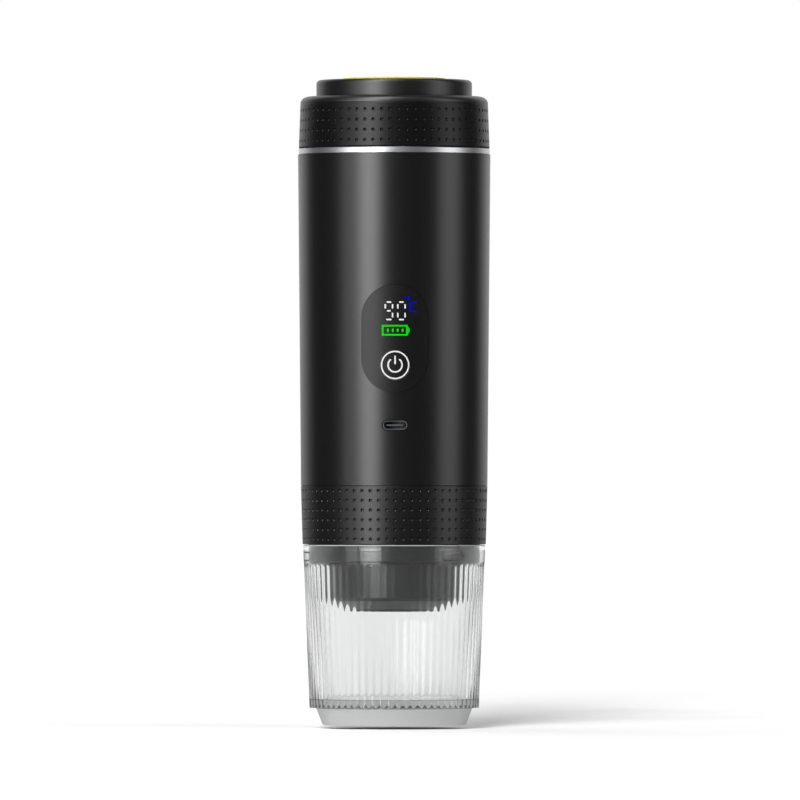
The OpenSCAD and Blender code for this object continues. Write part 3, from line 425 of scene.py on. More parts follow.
@dataclass
class MeshDraft:
    """Vertices and faces of a piece on the way to becoming a mesh, in millimetres.

    Attributes:
        points: Vertices.
        faces: Faces as rows of vertex numbers.
    """

    points: list[Point3] = field(default_factory=list)
    faces: list[tuple[int, ...]] = field(default_factory=list)

    def row(self, points: Sequence[Point3]) -> list[int]:
        """Adds a row of vertices.

        Args:
            points: Places of the vertices.

        Returns:
            Their numbers.
        """
        start = len(self.points)
        self.points.extend(points)
        return list(range(start, len(self.points)))

    def band(self, low: Sequence[int], high: Sequence[int], closed: bool = True) -> None:
        """Joins two rows of the same length with faces.

        Args:
            low: First row.
            high: Second row.
            closed: Whether the rows run all the way round.
        """
        count = len(low)
        for i in range(count if closed else count - 1):
            k = (i + 1) % count
            self.faces.append((low[i], low[k], high[k], high[i]))

    def skin(self, rows: Sequence[Sequence[int]]) -> None:
        """Joins each round row to the next."""
        for low, high in zip(rows, rows[1:]):
            self.band(low, high)

    def fan(self, row: Sequence[int], middle: Point3, flip: bool) -> None:
        """Closes a round row with triangles to one point.

        Args:
            row: Row to close.
            middle: The point.
            flip: Whether the faces turn the other way.
        """
        centre = self.row([middle])[0]
        count = len(row)
        for i in range(count):
            a, b = row[i], row[(i + 1) % count]
            self.faces.append((b, a, centre) if flip else (a, b, centre))

    def stack(self, outlines: Sequence[Sequence[Point3]]) -> None:
        """Adds a closed form from the outlines of its levels.

        Args:
            outlines: Points of each level, from one end to the other.
        """
        rows = [self.row(outline) for outline in outlines]
        self.skin(rows)
        self.faces += [tuple(reversed(rows[0])), tuple(rows[-1])]

    def rail(self, edges: Sequence[Sequence[Point3]], closed: bool) -> None:
        """Adds a long form from the lines of points along its edges.

        Args:
            edges: Points along each edge.
            closed: Whether the form returns to its start.
        """
        rows = [self.row(edge) for edge in edges]
        for low, high in zip(rows, rows[1:] + rows[:1]):
            self.band(low, high, closed)
        if not closed:
            self.faces += [tuple(r[0] for r in rows), tuple(r[-1] for r in reversed(rows))]

    def piece(self, name: str, body: str, slot: str, look: Finish, crease: float = 32.0) -> bpy.types.Object:
        """Makes the mesh, dresses it and lets it ride on a body.

        Args:
            name: Name of the piece.
            body: CAD body that carries it.
            slot: The record's material slot; not used.
            look: Its material.
            crease: Edges sharper than this, in degrees, stay sharp.

        Returns:
            The new object.
        """
        mesh = bpy.data.meshes.new(name)
        mesh.from_pydata([tuple(c * MM for c in p) for p in self.points], [], self.faces)
        work = bmesh.new()
        work.from_mesh(mesh)
        bmesh.ops.remove_doubles(work, verts=work.verts, dist=WELD)
        bmesh.ops.recalc_face_normals(work, faces=work.faces)
        for face in work.faces:
            face.smooth = True
        limit = math.radians(crease)
        for edge in work.edges:
            edge.smooth = edge.calc_face_angle(math.pi) < limit
        work.to_mesh(mesh)
        work.free()
        made = bpy.data.objects.new(name, mesh)
        bpy.context.scene.collection.objects.link(made)
        mesh.materials.append(look.material())
        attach(made, body)
        LOG.info("%s: %d faces on %s", name, len(mesh.polygons), body)
        return made


@dataclass
class Cup:
    """The ribbed clear cup, with rounder ribs and softer pads than the CAD solid carries.

    Attributes are sizes in millimetres, as in the part's source. The pairs are heights from where an edge
    starts, each with a step out (foot_edge, foot_neck), a step in (rim_edge, corner) or a share of the ribs'
    depth (rib_start, rib_end).
    """

    height: float = 66.5
    rim_r: float = 33.6
    base_r: float = 31.3
    foot_h: float = 6.4
    foot_top_r: float = 28.8
    foot_base_r: float = 26.6
    collar_z: float = 59.5
    bore_r: float = 32.1
    bore_edge: float = 0.25
    floor_z: float = 9.4
    inside_r: float = 28.9
    foot_edge: tuple[Point2, ...] = ((0.0, -0.6), (0.6, 0.0))
    foot_neck: tuple[Point2, ...] = ((-0.2, -0.08), (0.0, 0.15))
    rib_start: tuple[Point2, ...] = ((0.0, 0.7), (0.35, 1.0))
    rib_end: tuple[Point2, ...] = ((-1.2, 1.0), (-0.75, 0.75), (-0.35, 0.3), (0.0, 0.05))
    rim_edge: tuple[Point2, ...] = ((-0.4, 0.0), (-0.12, 0.12), (0.0, 0.4))
    corner: tuple[Point2, ...] = ((0.15, 0.08), (0.04, 0.2), (0.0, 0.4))
    corner_h: float = 0.4
    collar_start: float = 0.5
    wall_edge: float = 0.3
    wall_steps: int = 6
    rib_count: int = 70
    rib_depth: float = 0.2
    rib_inset: float = 0.08
    rib_steps: int = 12
    pads: int = 3
    pad_z: float = 62.3
    pad_w: float = 9.8
    pad_h: float = 2.9
    pad_t: float = 0.33
    pad_show: float = 0.14
    pad_turn: float = 41.0
    pad_inner_edge: float = 0.45
    pad_outer_edge: float = 0.55
    pad_margin: float = 0.5
    pad_steps: int = 16
    frost_foot: float = 0.15
    frost_rim: float = 0.3

    def outside(self, z: float) -> float:
        """Radius over the ribs at a height."""
        return self.base_r + (self.rim_r - self.base_r) * (z - self.foot_h) / (self.height - self.foot_h)

    def ring(self, z: float, radius: Radius) -> list[Point3]:
        """Points around the cup at a height.

        Args:
            z: Height.
            radius: Radius at an angle from the front, in radians.

        Returns:
            The points.
        """
        count = self.rib_count * self.rib_steps
        angles = [2 * math.pi * i / count for i in range(count)]
        return [polar(radius(a), a, z) for a in angles]

    def rib(self, z: float, share: float) -> Radius:
        """Gives the ribbed radius at a height.

        Args:
            z: Height.
            share: Share of the full groove depth.

        Returns:
            Radius as a function of the angle.
        """
        crest, depth = self.outside(z) - self.rib_inset, share * self.rib_depth
        return lambda angle: crest - depth * (0.5 + 0.5 * math.cos(self.rib_count * angle))

    def pad(self, angle: float, z: float, edge_w: float) -> float:
        """Tells how far a point lies on one of the pads that hold the brew head.

        Args:
            angle: Angle from the front, in radians.
            z: Height.
            edge_w: Width of a pad's rounded edge.

        Returns:
            A share that goes from 0 beside a pad to 1 on it.
        """
        turn, straight = 2 * math.pi / self.pads, (self.pad_w - self.pad_h) / 2
        near = (angle - math.radians(self.pad_turn) + turn / 2) % turn - turn / 2
        across = max(0.0, abs(near) * self.bore_r - straight)
        edge = self.pad_h / 2 - math.hypot(across, z - self.pad_z)
        rise = min(1.0, max(0.0, edge / edge_w + 0.5))
        return rise * rise * (3 - 2 * rise)

    def bore(self, z: float) -> Radius:
        """Gives the collar's inside radius at a height."""
        return lambda angle: self.bore_r - self.pad_t * self.pad(angle, z, self.pad_inner_edge)

    def collar(self, z: float) -> Radius:
        """Gives the collar's outside radius at a height, where the front pad alone shows a little.

        Args:
            z: Height.

        Returns:
            Radius as a function of the angle.
        """
        front, reach = math.radians(self.pad_turn), math.pi / self.pads

        def radius(angle: float) -> float:
            """Radius of one point on the collar."""
            show = self.pad_show if abs(angle - front) < reach else 0.0
            return self.outside(z) + show * self.pad(angle, z, self.pad_outer_edge)

        return radius

    def build(self) -> None:
        """Builds the cup as one closed skin, which stands for the CAD cup."""
        low, top, deep = self.foot_h, self.collar_z, self.floor_z + self.corner_h
        inner = [k / self.wall_steps for k in range(1, self.wall_steps)]
        levels = [(z, plain(self.foot_base_r + out)) for z, out in self.foot_edge]
        levels += [(low + up, plain(self.foot_top_r + out)) for up, out in self.foot_neck]
        levels += [(low + up, self.rib(low + up, share)) for up, share in self.rib_start]
        levels += [(z, self.rib(z, 1.0)) for z in (low + (top - low) * t for t in inner)]
        levels += [(top + up, self.rib(top + up, share)) for up, share in self.rib_end]
        start = top + self.collar_start
        levels += [(start, plain(self.outside(start)))]
        span = self.pad_h / 2 + self.pad_margin
        heights = [self.pad_z - span + 2 * span * k / self.pad_steps for k in range(self.pad_steps + 1)]
        levels += [(z, self.collar(z)) for z in heights]
        levels += [(self.height + up, plain(self.rim_r - back)) for up, back in self.rim_edge]
        levels += [(self.height, plain(self.bore_r + self.bore_edge))]
        levels += [(self.height - self.bore_edge, plain(self.bore_r))]
        levels += [(z, self.bore(z)) for z in reversed(heights)]
        flare = (self.bore_r - self.inside_r) / (top - deep)
        wall = [deep + (top - deep) * t for t in reversed(inner)]
        wall = [top, top - self.wall_edge, *wall, deep + self.wall_edge, deep]
        levels += [(z, plain(self.inside_r + flare * (z - deep))) for z in wall]
        levels += [(self.floor_z + up, plain(self.inside_r - back)) for up, back in self.corner]
        draft = MeshDraft()
        rows = [draft.row(self.ring(z, radius)) for z, radius in levels]
        draft.fan(rows[0], (0, 0, 0.0), True)
        draft.skin(rows)
        draft.fan(rows[-1], (0, 0, self.floor_z), False)
        made = draft.piece("ribbed_cup", "cup", "cup_clear", CUP)
        made.data.materials.append(FROST.material())
        low, high = self.foot_h - self.frost_foot, self.height - self.frost_rim
        for face in made.data.polygons:
            face.material_index = 0 if low <= face.center.z / MM <= high else 1
        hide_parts("cup")


@dataclass
class DimpledGrip:
    """A grip band with rows of round dimples, which are plain recesses in the CAD solid.

    Attributes, with lengths in millimetres:
        name: Name of the piece.
        body: CAD body that carries it.
        node: CAD node that it stands for.
        look: Material of the band.
        core: Inside radius.
        low: Outside radius and height of the lower edge.
        high: Outside radius and height of the upper edge.
        first_row: Height of the lowest row.
        row_pitch: Distance between rows.
        rows: Number of rows.
        turn: Turn of the dimples, as a share of their spacing.
        columns: Dimples around the band.
        dimple_r: Radius of a dimple.
        dimple_depth: Its depth.
        rings: Rings of points around its middle, as shares of its radius.
        edge: Rounding of the band's edges.
        margin: Least face between an edge and the dimples' fields.
        steps: Steps along each side of the field around a dimple.
        crease: Edges sharper than this, in degrees, stay sharp.
    """

    name: str
    body: str
    node: str
    look: Finish
    core: float
    low: Point2
    high: Point2
    first_row: float
    row_pitch: float
    rows: int
    turn: float = 0.0
    columns: int = 70
    dimple_r: float = 0.64
    dimple_depth: float = 0.5
    rings: tuple[float, ...] = (1.14, 1.0, 0.95, 0.8, 0.55, 0.25)
    edge: float = 0.1
    margin: float = 0.05
    steps: int = 4
    crease: float = 50.0

    def radius(self, z: float) -> float:
        """Radius of the band's face at a height."""
        (r0, z0), (r1, z1) = self.low, self.high
        return r0 + (r1 - r0) * (z - z0) / (z1 - z0)

    def place(self, angle: float, z: float, sink: float = 0.0) -> Point3:
        """A point on the band's face, or sunk under it, at an angle from the front in radians."""
        return polar(self.radius(z) - sink, angle, z)

    def dimple(self, draft: MeshDraft, angle: float, z: float, span: Point2) -> None:
        """Adds one dimple with the field of the face around it.

        Args:
            draft: Draft that takes it.
            angle: Angle of the dimple's middle.
            z: Height of its middle.
            span: Heights of the field's lower and upper edge.
        """
        half, radius = math.pi / self.columns, self.radius(z)
        low, high = span
        corners = [(-half, low), (half, low), (half, high), (-half, high)]
        outline = [
            (u0 + (u1 - u0) * k / self.steps, v0 + (v1 - v0) * k / self.steps)
            for (u0, v0), (u1, v1) in zip(corners, corners[1:] + corners[:1])
            for k in range(self.steps)
        ]
        turns = [math.atan2(v - z, u * radius) for u, v in outline]
        rows = [draft.row([self.place(angle + u, v) for u, v in outline])]
        for share in self.rings:
            reach = share * self.dimple_r
            sink = self.dimple_depth * math.sqrt(max(0.0, 1 - share * share))
            spots = [(angle + reach * math.cos(t) / radius, z + reach * math.sin(t)) for t in turns]
            rows.append(draft.row([self.place(u, v, sink) for u, v in spots]))
        draft.skin(rows)
        draft.fan(rows[-1], self.place(angle, z, self.dimple_depth), False)

    def build(self) -> None:
        """Builds the band as one closed skin, which stands for the CAD node."""
        draft = MeshDraft()
        heights = [self.first_row + k * self.row_pitch for k in range(self.rows)]
        gap, rest = self.row_pitch / 2, self.edge + self.margin
        z0, z1 = self.low[1], self.high[1]
        bottom, top = max(heights[0] - gap, z0 + rest), min(heights[-1] + gap, z1 - rest)
        cuts = [bottom, *(z + gap for z in heights[:-1]), top]
        spacing = 2 * math.pi / self.columns
        for i in range(self.columns):
            for z, span in zip(heights, zip(cuts, cuts[1:])):
                self.dimple(draft, (i + self.turn) * spacing, z, span)
        count = self.columns * self.steps
        angles = [(self.turn - 0.5) * spacing + spacing * i / self.steps for i in range(count)]
        faced = [(bottom, 0.0), (z0 + self.edge, 0.0), (z0, self.edge)]
        faced_back = [(z1, self.edge), (z1 - self.edge, 0.0), (top, 0.0)]
        rim = [draft.row([self.place(a, z, sink) for a in angles]) for z, sink in faced]
        rim += [draft.row([polar(self.core, a, z) for a in angles]) for z in (z0, z1)]
        rim += [draft.row([self.place(a, z, sink) for a in angles]) for z, sink in faced_back]
        draft.skin(rim)
        made = draft.piece(self.name, self.body, "grip_black", self.look, self.crease)
        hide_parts(self.node)


class Bar(Enum):
    """Segments of a digit, as start and end in half widths and half heights of the digit."""

    TOP = ((-0.58, 1.0), (0.58, 1.0))
    UPPER_LEFT = ((-1.0, 0.75), (-1.0, 0.27))
    UPPER_RIGHT = ((1.0, 0.75), (1.0, 0.27))
    MIDDLE = ((-0.5, 0.0), (0.5, 0.0))
    LOWER_LEFT = ((-1.0, -0.24), (-1.0, -0.75))
    LOWER_RIGHT = ((1.0, -0.24), (1.0, -0.75))
    BOTTOM = ((-0.66, -1.0), (0.66, -1.0))


@dataclass
class Signs:
    """Lit signs that lie on the display panel and the power button, and a dark band of painted shade in the
    gap around the socket.

    Attributes are sizes in millimetres; bar_trim and tip_shares are shares, power_gap and end_turns degrees.
    The signs follow the panel's curve.
    """

    shell_z: float = 88.3
    shell_h: float = 122.0
    shell_r0: float = 34.4
    shell_r1: float = 35.5
    sink: float = 0.1
    lift: float = 0.03
    root: float = 0.06
    line: float = 0.56
    fine_step: float = 0.3
    end_turns: tuple[int, ...] = (15, 30, 45, 60, 75, 89)
    digit_z: float = 152.29
    digit_half_w: float = 1.33
    digit_half_h: float = 3.2
    bar_trim: float = 0.375
    tens_x: float = -2.26
    ones_x: float = 2.33
    degree: Point2 = (4.65, 156.93)
    degree_r: float = 0.64
    degree_half: float = 0.01
    unit_x: Point2 = (5.6, 7.5)
    unit_z: Point2 = (152.1, 155.5)
    unit_bars: Point2 = (152.2, 155.45)
    unit_gap: float = 1.15
    battery_x: Point2 = (-4.83, 4.6)
    battery_z: Point2 = (143.2, 147.1)
    battery_tip: float = 0.72
    tip_shares: tuple[float, ...] = (0.86, 0.69, 0.52, 0.35)
    battery_cells: tuple[float, ...] = (-2.64, -0.84, 0.95, 2.75)
    cell_half_h: float = 0.32
    cell_w: float = 0.66
    power_z: float = 132.45
    power_r: float = 2.57
    power_gap: float = 42.0
    power_bar: Point2 = (0.5, 3.2)
    mask: tuple[Point2, ...] = ((4.56, 0.28), (5.38, 0.28))
    port: Point2 = (2.84, 1.93)
    port_z: float = 110.4
    gap_shade_w: float = 0.3

    def on_panel(self, x: float, z: float, lift: float) -> Point3:
        """A point on the panel's curve.

        Args:
            x: Distance from the middle.
            z: Height.
            lift: Distance in front of the panel's surface.

        Returns:
            The point.
        """
        radius = self.shell_r0 + (self.shell_r1 - self.shell_r0) * (z - self.shell_z) / self.shell_h
        radius += lift - self.sink
        return x, -math.sqrt(radius * radius - x * x), z

    def stroke(
        self,
        draft: MeshDraft,
        path: Sequence[Point2],
        width: float,
        closed: bool = False,
        blunt: bool = False,
    ) -> None:
        """Adds a raised line with round or blunt ends that follows the panel.

        Args:
            draft: Draft that takes the line.
            path: Its middle line.
            width: Its width.
            closed: Whether the path returns to its start.
            blunt: Whether the ends are cut square.
        """
        half = width / 2
        line = [Vector(p) for p in path]
        if closed:
            line.append(line[0].copy())
        fine: list[Vector] = []
        for a, b in zip(line, line[1:]):
            steps = max(1, math.ceil((b - a).length / self.fine_step))
            fine += [a.lerp(b, i / steps) for i in range(steps)]
        if not closed:
            fine.append(line[-1])
        halves = [half] * len(fine)
        if not closed and not blunt:
            first, last = (fine[0] - fine[1]).normalized(), (fine[-1] - fine[-2]).normalized()
            turns = [math.radians(a) for a in self.end_turns]
            slim = [half * math.cos(t) for t in turns]
            head = [fine[0] + first * half * math.sin(t) for t in reversed(turns)]
            fine = head + fine + [fine[-1] + last * half * math.sin(t) for t in turns]
            halves = slim[::-1] + halves + slim
        count = len(fine)
        edges: list[list[Point3]] = [[], [], [], []]
        for i, p in enumerate(fine):
            before = fine[(i - 1) % count] if closed else fine[max(0, i - 1)]
            after = fine[(i + 1) % count] if closed else fine[min(count - 1, i + 1)]
            along_in = (p - before).normalized() if i or closed else (after - p).normalized()
            along_out = (after - p).normalized() if i < count - 1 or closed else along_in
            along = (along_in + along_out).normalized()
            across = Vector((-along.y, along.x)) * halves[i] / max(0.5, along.dot(along_out))
            ends = ((across, self.lift), (-across, self.lift), (-across, -self.root), (across, -self.root))
            for edge, (aside, lift) in zip(edges, ends):
                edge.append(self.on_panel(p.x + aside.x, p.y + aside.y, lift))
        draft.rail(edges, closed)

    def digit(self, draft: MeshDraft, x: float, unlit: Bar) -> None:
        """Adds one digit.

        Args:
            draft: Draft that takes the digit.
            x: Its middle.
            unlit: The one segment that stays dark.
        """
        half_w, half_h = self.digit_half_w, self.digit_half_h
        for bar in Bar:
            if bar is not unlit:
                a, b = (Vector((x + u * half_w, self.digit_z + v * half_h)) for u, v in bar.value)
                trim = (b - a).normalized() * self.line * self.bar_trim
                self.stroke(draft, [tuple(a + trim), tuple(b - trim)], self.line)

    def temperature(self) -> None:
        """Builds the two digits of the water's temperature."""
        draft = MeshDraft()
        self.digit(draft, self.tens_x, Bar.LOWER_LEFT)
        self.digit(draft, self.ones_x, Bar.MIDDLE)
        draft.piece("temperature_digits", "housing", "light_white", LIT_WHITE)

    def unit(self) -> None:
        """Builds the sign of degrees Celsius."""
        draft = MeshDraft()
        x, z = self.degree
        self.stroke(draft, [(x - self.degree_half, z), (x + self.degree_half, z)], 2 * self.degree_r)
        (x0, x1), (z0, z1) = self.unit_x, self.unit_z
        self.stroke(draft, [(x0, z0), (x0, z1)], self.line, blunt=True)
        for level in self.unit_bars:
            self.stroke(draft, [(x0 + self.unit_gap, level), (x1, level)], self.line)
        draft.piece("celsius_sign", "housing", "light_white", LIT_BLUE)

    def battery(self) -> None:
        """Builds the battery sign with its four cells."""
        draft = MeshDraft()
        half = self.line / 2
        (x0, x1), (z0, z1) = self.battery_x, self.battery_z
        left, right, low, high = x0 + half, x1 - half, z0 + half, z1 - half
        self.stroke(draft, [(left, high), (left, low), (right, low), (right, high)], self.line, closed=True)
        middle, step = (z0 + z1) / 2, (self.battery_tip + half) / len(self.tip_shares)
        for k, share in enumerate(self.tip_shares):
            slice_ends = [(right + k * step, middle), (right + (k + 1) * step, middle)]
            self.stroke(draft, slice_ends, (z1 - z0) * share, blunt=True)
        for x in self.battery_cells:
            self.stroke(draft, [(x, middle - self.cell_half_h), (x, middle + self.cell_half_h)], self.cell_w)
        draft.piece("battery_sign", "housing", "light_white", LIT_GREEN)

    def power(self) -> None:
        """Builds the power sign on the button."""
        draft = MeshDraft()
        middle = (0.0, self.power_z)
        self.stroke(draft, arc(middle, self.power_r, self.power_gap, 360 - self.power_gap, 48), self.line)
        self.stroke(draft, [(0.0, self.power_z + up) for up in self.power_bar], self.line)
        draft.piece("power_sign", "power_button", "light_white", LIT_WHITE)

    def port_gap_shade(self) -> None:
        """Builds a dark band of painted shade in the gap around the charging socket."""
        draft = MeshDraft()
        straight, radius = self.port
        path = arc((straight, self.port_z), radius, 0, 180, 12)
        path += arc((-straight, self.port_z), radius, 180, 360, 12)
        self.stroke(draft, path, self.gap_shade_w, closed=True)
        draft.piece("port_gap_shade_band", "housing", "rubber_black", RUBBER_AND_GAP_SHADE)

    def ring_mask(self) -> None:
        """Builds the two printed lines that narrow the lit ring around the button."""
        draft = MeshDraft()
        for radius, width in self.mask:
            self.stroke(draft, arc((0.0, self.power_z), radius, 0, 360, 72)[:-1], width, closed=True)
        draft.piece("ring_mask", "housing", "panel_gloss", PANEL)


@dataclass
class Thread:
    """Ridges of a quick screw thread on a round neck.

    Attributes, with lengths in millimetres:
        name: Name of the piece.
        body: CAD body that carries it.
        slot: The record's material slot.
        look: Material of the neck.
        radius: Radius of the neck.
        low: Height where the ridges start.
        high: Height where they end.
        lead: Rise in one turn.
        starts: Ridges side by side.
        height: How far a ridge stands out.
        root: How far it reaches into the neck.
        width: Width of a ridge at its root.
        crest: Half the width of its top, as a share of the width.
        run_out: Share of its length over which a ridge rises or sinks.
        turn_steps: Steps in one turn.
        crease: Edges sharper than this, in degrees, stay sharp.
    """

    name: str
    body: str
    slot: str
    look: Finish
    radius: float
    low: float
    high: float
    lead: float
    starts: int = 4
    height: float = 0.18
    root: float = 0.05
    width: float = 1.1
    crest: float = 0.22
    run_out: float = 0.125
    turn_steps: int = 90
    crease: float = 25.0

    def build(self) -> None:
        """Builds the ridges."""
        draft = MeshDraft()
        turns = (self.high - self.low) / self.lead
        steps = round(turns * self.turn_steps)
        for start in range(self.starts):
            edges: list[list[Point3]] = [[], [], [], []]
            for i in range(steps + 1):
                along = i / steps
                angle = 2 * math.pi * (turns * along + start / self.starts)
                out = self.height * min(1.0, along / self.run_out, (1 - along) / self.run_out)
                z = self.low + (self.high - self.low) * along
                corners = ((-self.root, -0.5), (out, -self.crest), (out, self.crest), (-self.root, 0.5))
                for edge, (rise, up) in zip(edges, corners):
                    edge.append(polar(self.radius + rise, angle, z + up * self.width))
            draft.rail(edges, False)
        draft.piece(self.name, self.body, self.slot, self.look, self.crease)


@dataclass
class GapShadeRing:
    """Dark ring of painted shade that fills the thin parting gap between two housings, a little back from the
    outside, where only shade falls.

    Attributes, with lengths in millimetres:
        name: Name of the piece.
        body: CAD body that carries it.
        inner: Inside radius.
        outer: Outside radius.
        low: Height of its underside.
        high: Height of its top.
        sides: Flat steps around it.
    """

    name: str
    body: str
    inner: float
    outer: float
    low: float
    high: float
    sides: int = 240

    def build(self) -> None:
        """Builds the ring with a rounded outer lip."""
        draft = MeshDraft()
        half, middle = (self.high - self.low) / 2, (self.high + self.low) / 2
        lip = arc((self.outer - half, middle), half, 180, 0, 4)
        outline = [(self.inner, self.low), *lip, (self.inner, self.high)]
        turns = [2 * math.pi * i / self.sides for i in range(self.sides)]
        rows = [draft.row([polar(r, a, z) for a in turns]) for r, z in outline]
        draft.skin(rows + rows[:1])
        draft.piece(self.name, self.body, "rubber_black", RUBBER_AND_GAP_SHADE)


@dataclass
class SocketTongue:
    """Gold contacts and the rounded nose on the tongue of the charging socket.

    Attributes are sizes in millimetres; nose_levels has steps in from the tongue's faces and places from
    its front.
    """

    count: int = 12
    pitch: float = 0.5
    width: float = 0.27
    thick: float = 0.03
    length: float = 4.2
    setback: float = 0.35
    root: float = 0.02
    ramp: float = 0.08
    nose_side: float = 0.25
    nose_levels: tuple[Point2, ...] = ((0.02, 0.06), (0.02, -0.1), (0.16, -0.2))

    def box(self) -> tuple[Vector, Vector]:
        """Gives the low and high corner of the tongue's CAD solid."""
        low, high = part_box("usb_tongue")
        return low / MM, high / MM

    def contacts(self) -> None:
        """Builds the contacts on both faces of the tongue."""
        low, high = self.box()
        draft = MeshDraft()
        front = low.y + self.setback
        back = front + self.length
        for face, side in ((low.z, -1), (high.z, 1)):
            levels = ((front, face - side * self.root), (front + self.ramp, face + side * self.thick))
            for k in range(self.count):
                x = (k - (self.count - 1) / 2) * self.pitch
                a, b = x - self.width / 2, x + self.width / 2
                draft.stack([((a, y, z), (b, y, z), (b, back, z), (a, back, z)) for y, z in levels])
        draft.piece("socket_contacts", "housing", "port_steel", GOLD)

    def nose(self) -> None:
        """Builds the rounded nose of the tongue."""
        low, high = self.box()
        draft = MeshDraft()
        outlines = []
        for shrink, ahead in self.nose_levels:
            x, y = high.x - shrink - self.nose_side, low.y + ahead
            z0, z1 = low.z + shrink, high.z - shrink
            outlines.append([(-x, y, z0), (x, y, z0), (x, y, z1), (-x, y, z1)])
        draft.stack(outlines)
        draft.piece("tongue_nose", "housing", "inner_black", TONGUE)


@dataclass
class FrameDress:
    """Gives each CAD node that stays in view the look of its material slot.

    Attributes:
    """

    frame: dict[str, Any]

    def dress(self) -> None:
        """Assigns the looks, by the slots that the record gives its subparts."""
        slots = {part["node"]: part["material_slot"] for part in self.frame["record"]["subparts"]}
        for name, node in self.frame["nodes"].items():
            look = SLOT_FINISH[slots[name]]
            node.data.materials.clear()
            node.data.materials.append(look.material())
            for face in node.data.polygons:
                face.material_index = 0
            LOG.info("%s: %s", name, look.name)


def hang(lamp: bpy.types.Light, lit: bpy.types.Collection) -> bpy.types.Object:
    """Puts a lamp into the scene.

    Args:
        lamp: The lamp.
        lit: Collection that says what the lamp lights.

    Returns:
        The lamp's object.
    """
    made = bpy.data.objects.new(lamp.name, lamp)
    made.light_linking.receiver_collection = lit
    bpy.context.scene.collection.objects.link(made)
    return made


@dataclass
class StripLight:
    """A tall soft box that stands around the object.

    Attributes:
        name: Name of the lamp.
        azimuth: Angle from the front towards the right, in degrees.
        distance: Distance from the object's axis, in metres.
        width: Width, in metres.
        height: Height, in metres.
        middle: Height of its middle, in metres.
        radiance: Brightness of its face, where 1 is white.
        lean: How far it leans over the object, in degrees.
    """

    name: str
    azimuth: float
    distance: float
    width: float
    height: float
    middle: float
    radiance: float
    lean: float = 0.0

    def build(self, lit: bpy.types.Collection) -> None:
        """Builds the lamp.

        Args:
            lit: Collection that says what the lamp lights.
        """
        lamp = bpy.data.lights.new(self.name, "AREA")
        lamp.shape = "RECTANGLE"
        lamp.size = self.width
        lamp.size_y = self.height
        lamp.energy = WHITE_FACE * self.width * self.height * self.radiance
        made = hang(lamp, lit)
        turn, lean = math.radians(self.azimuth), math.radians(self.lean)
        rise = self.distance * math.sin(lean)
        made.location = polar(self.distance * math.cos(lean), turn, self.middle + rise)
        made.rotation_euler = (math.pi / 2 - lean, 0, turn)
        made.visible_camera = False


@dataclass
class FloorLight:
    """A wide far light that reaches only the floor, for the object's shadow on it.

    Attributes:
        name: Name of the lamp.
        azimuth: Angle from the front towards the right, in degrees.
        height: Angle above the floor, in degrees.
        angle: Width of the light, in degrees.
        power: Its strength on a face turned to it.
    """

    name: str
    azimuth: float
    height: float
    angle: float
    power: float

    def build(self, floor: bpy.types.Collection) -> None:
        """Builds the lamp.

        Args:
            floor: Collection that holds the floor alone.
        """
        lamp = bpy.data.lights.new(self.name, "SUN")
        lamp.energy = self.power
        lamp.angle = math.radians(self.angle)
        up = math.radians(self.height)
        away = Vector(polar(math.cos(up), math.radians(self.azimuth), math.sin(up)))
        hang(lamp, floor).rotation_euler = away.to_track_quat("Z", "Y").to_euler()


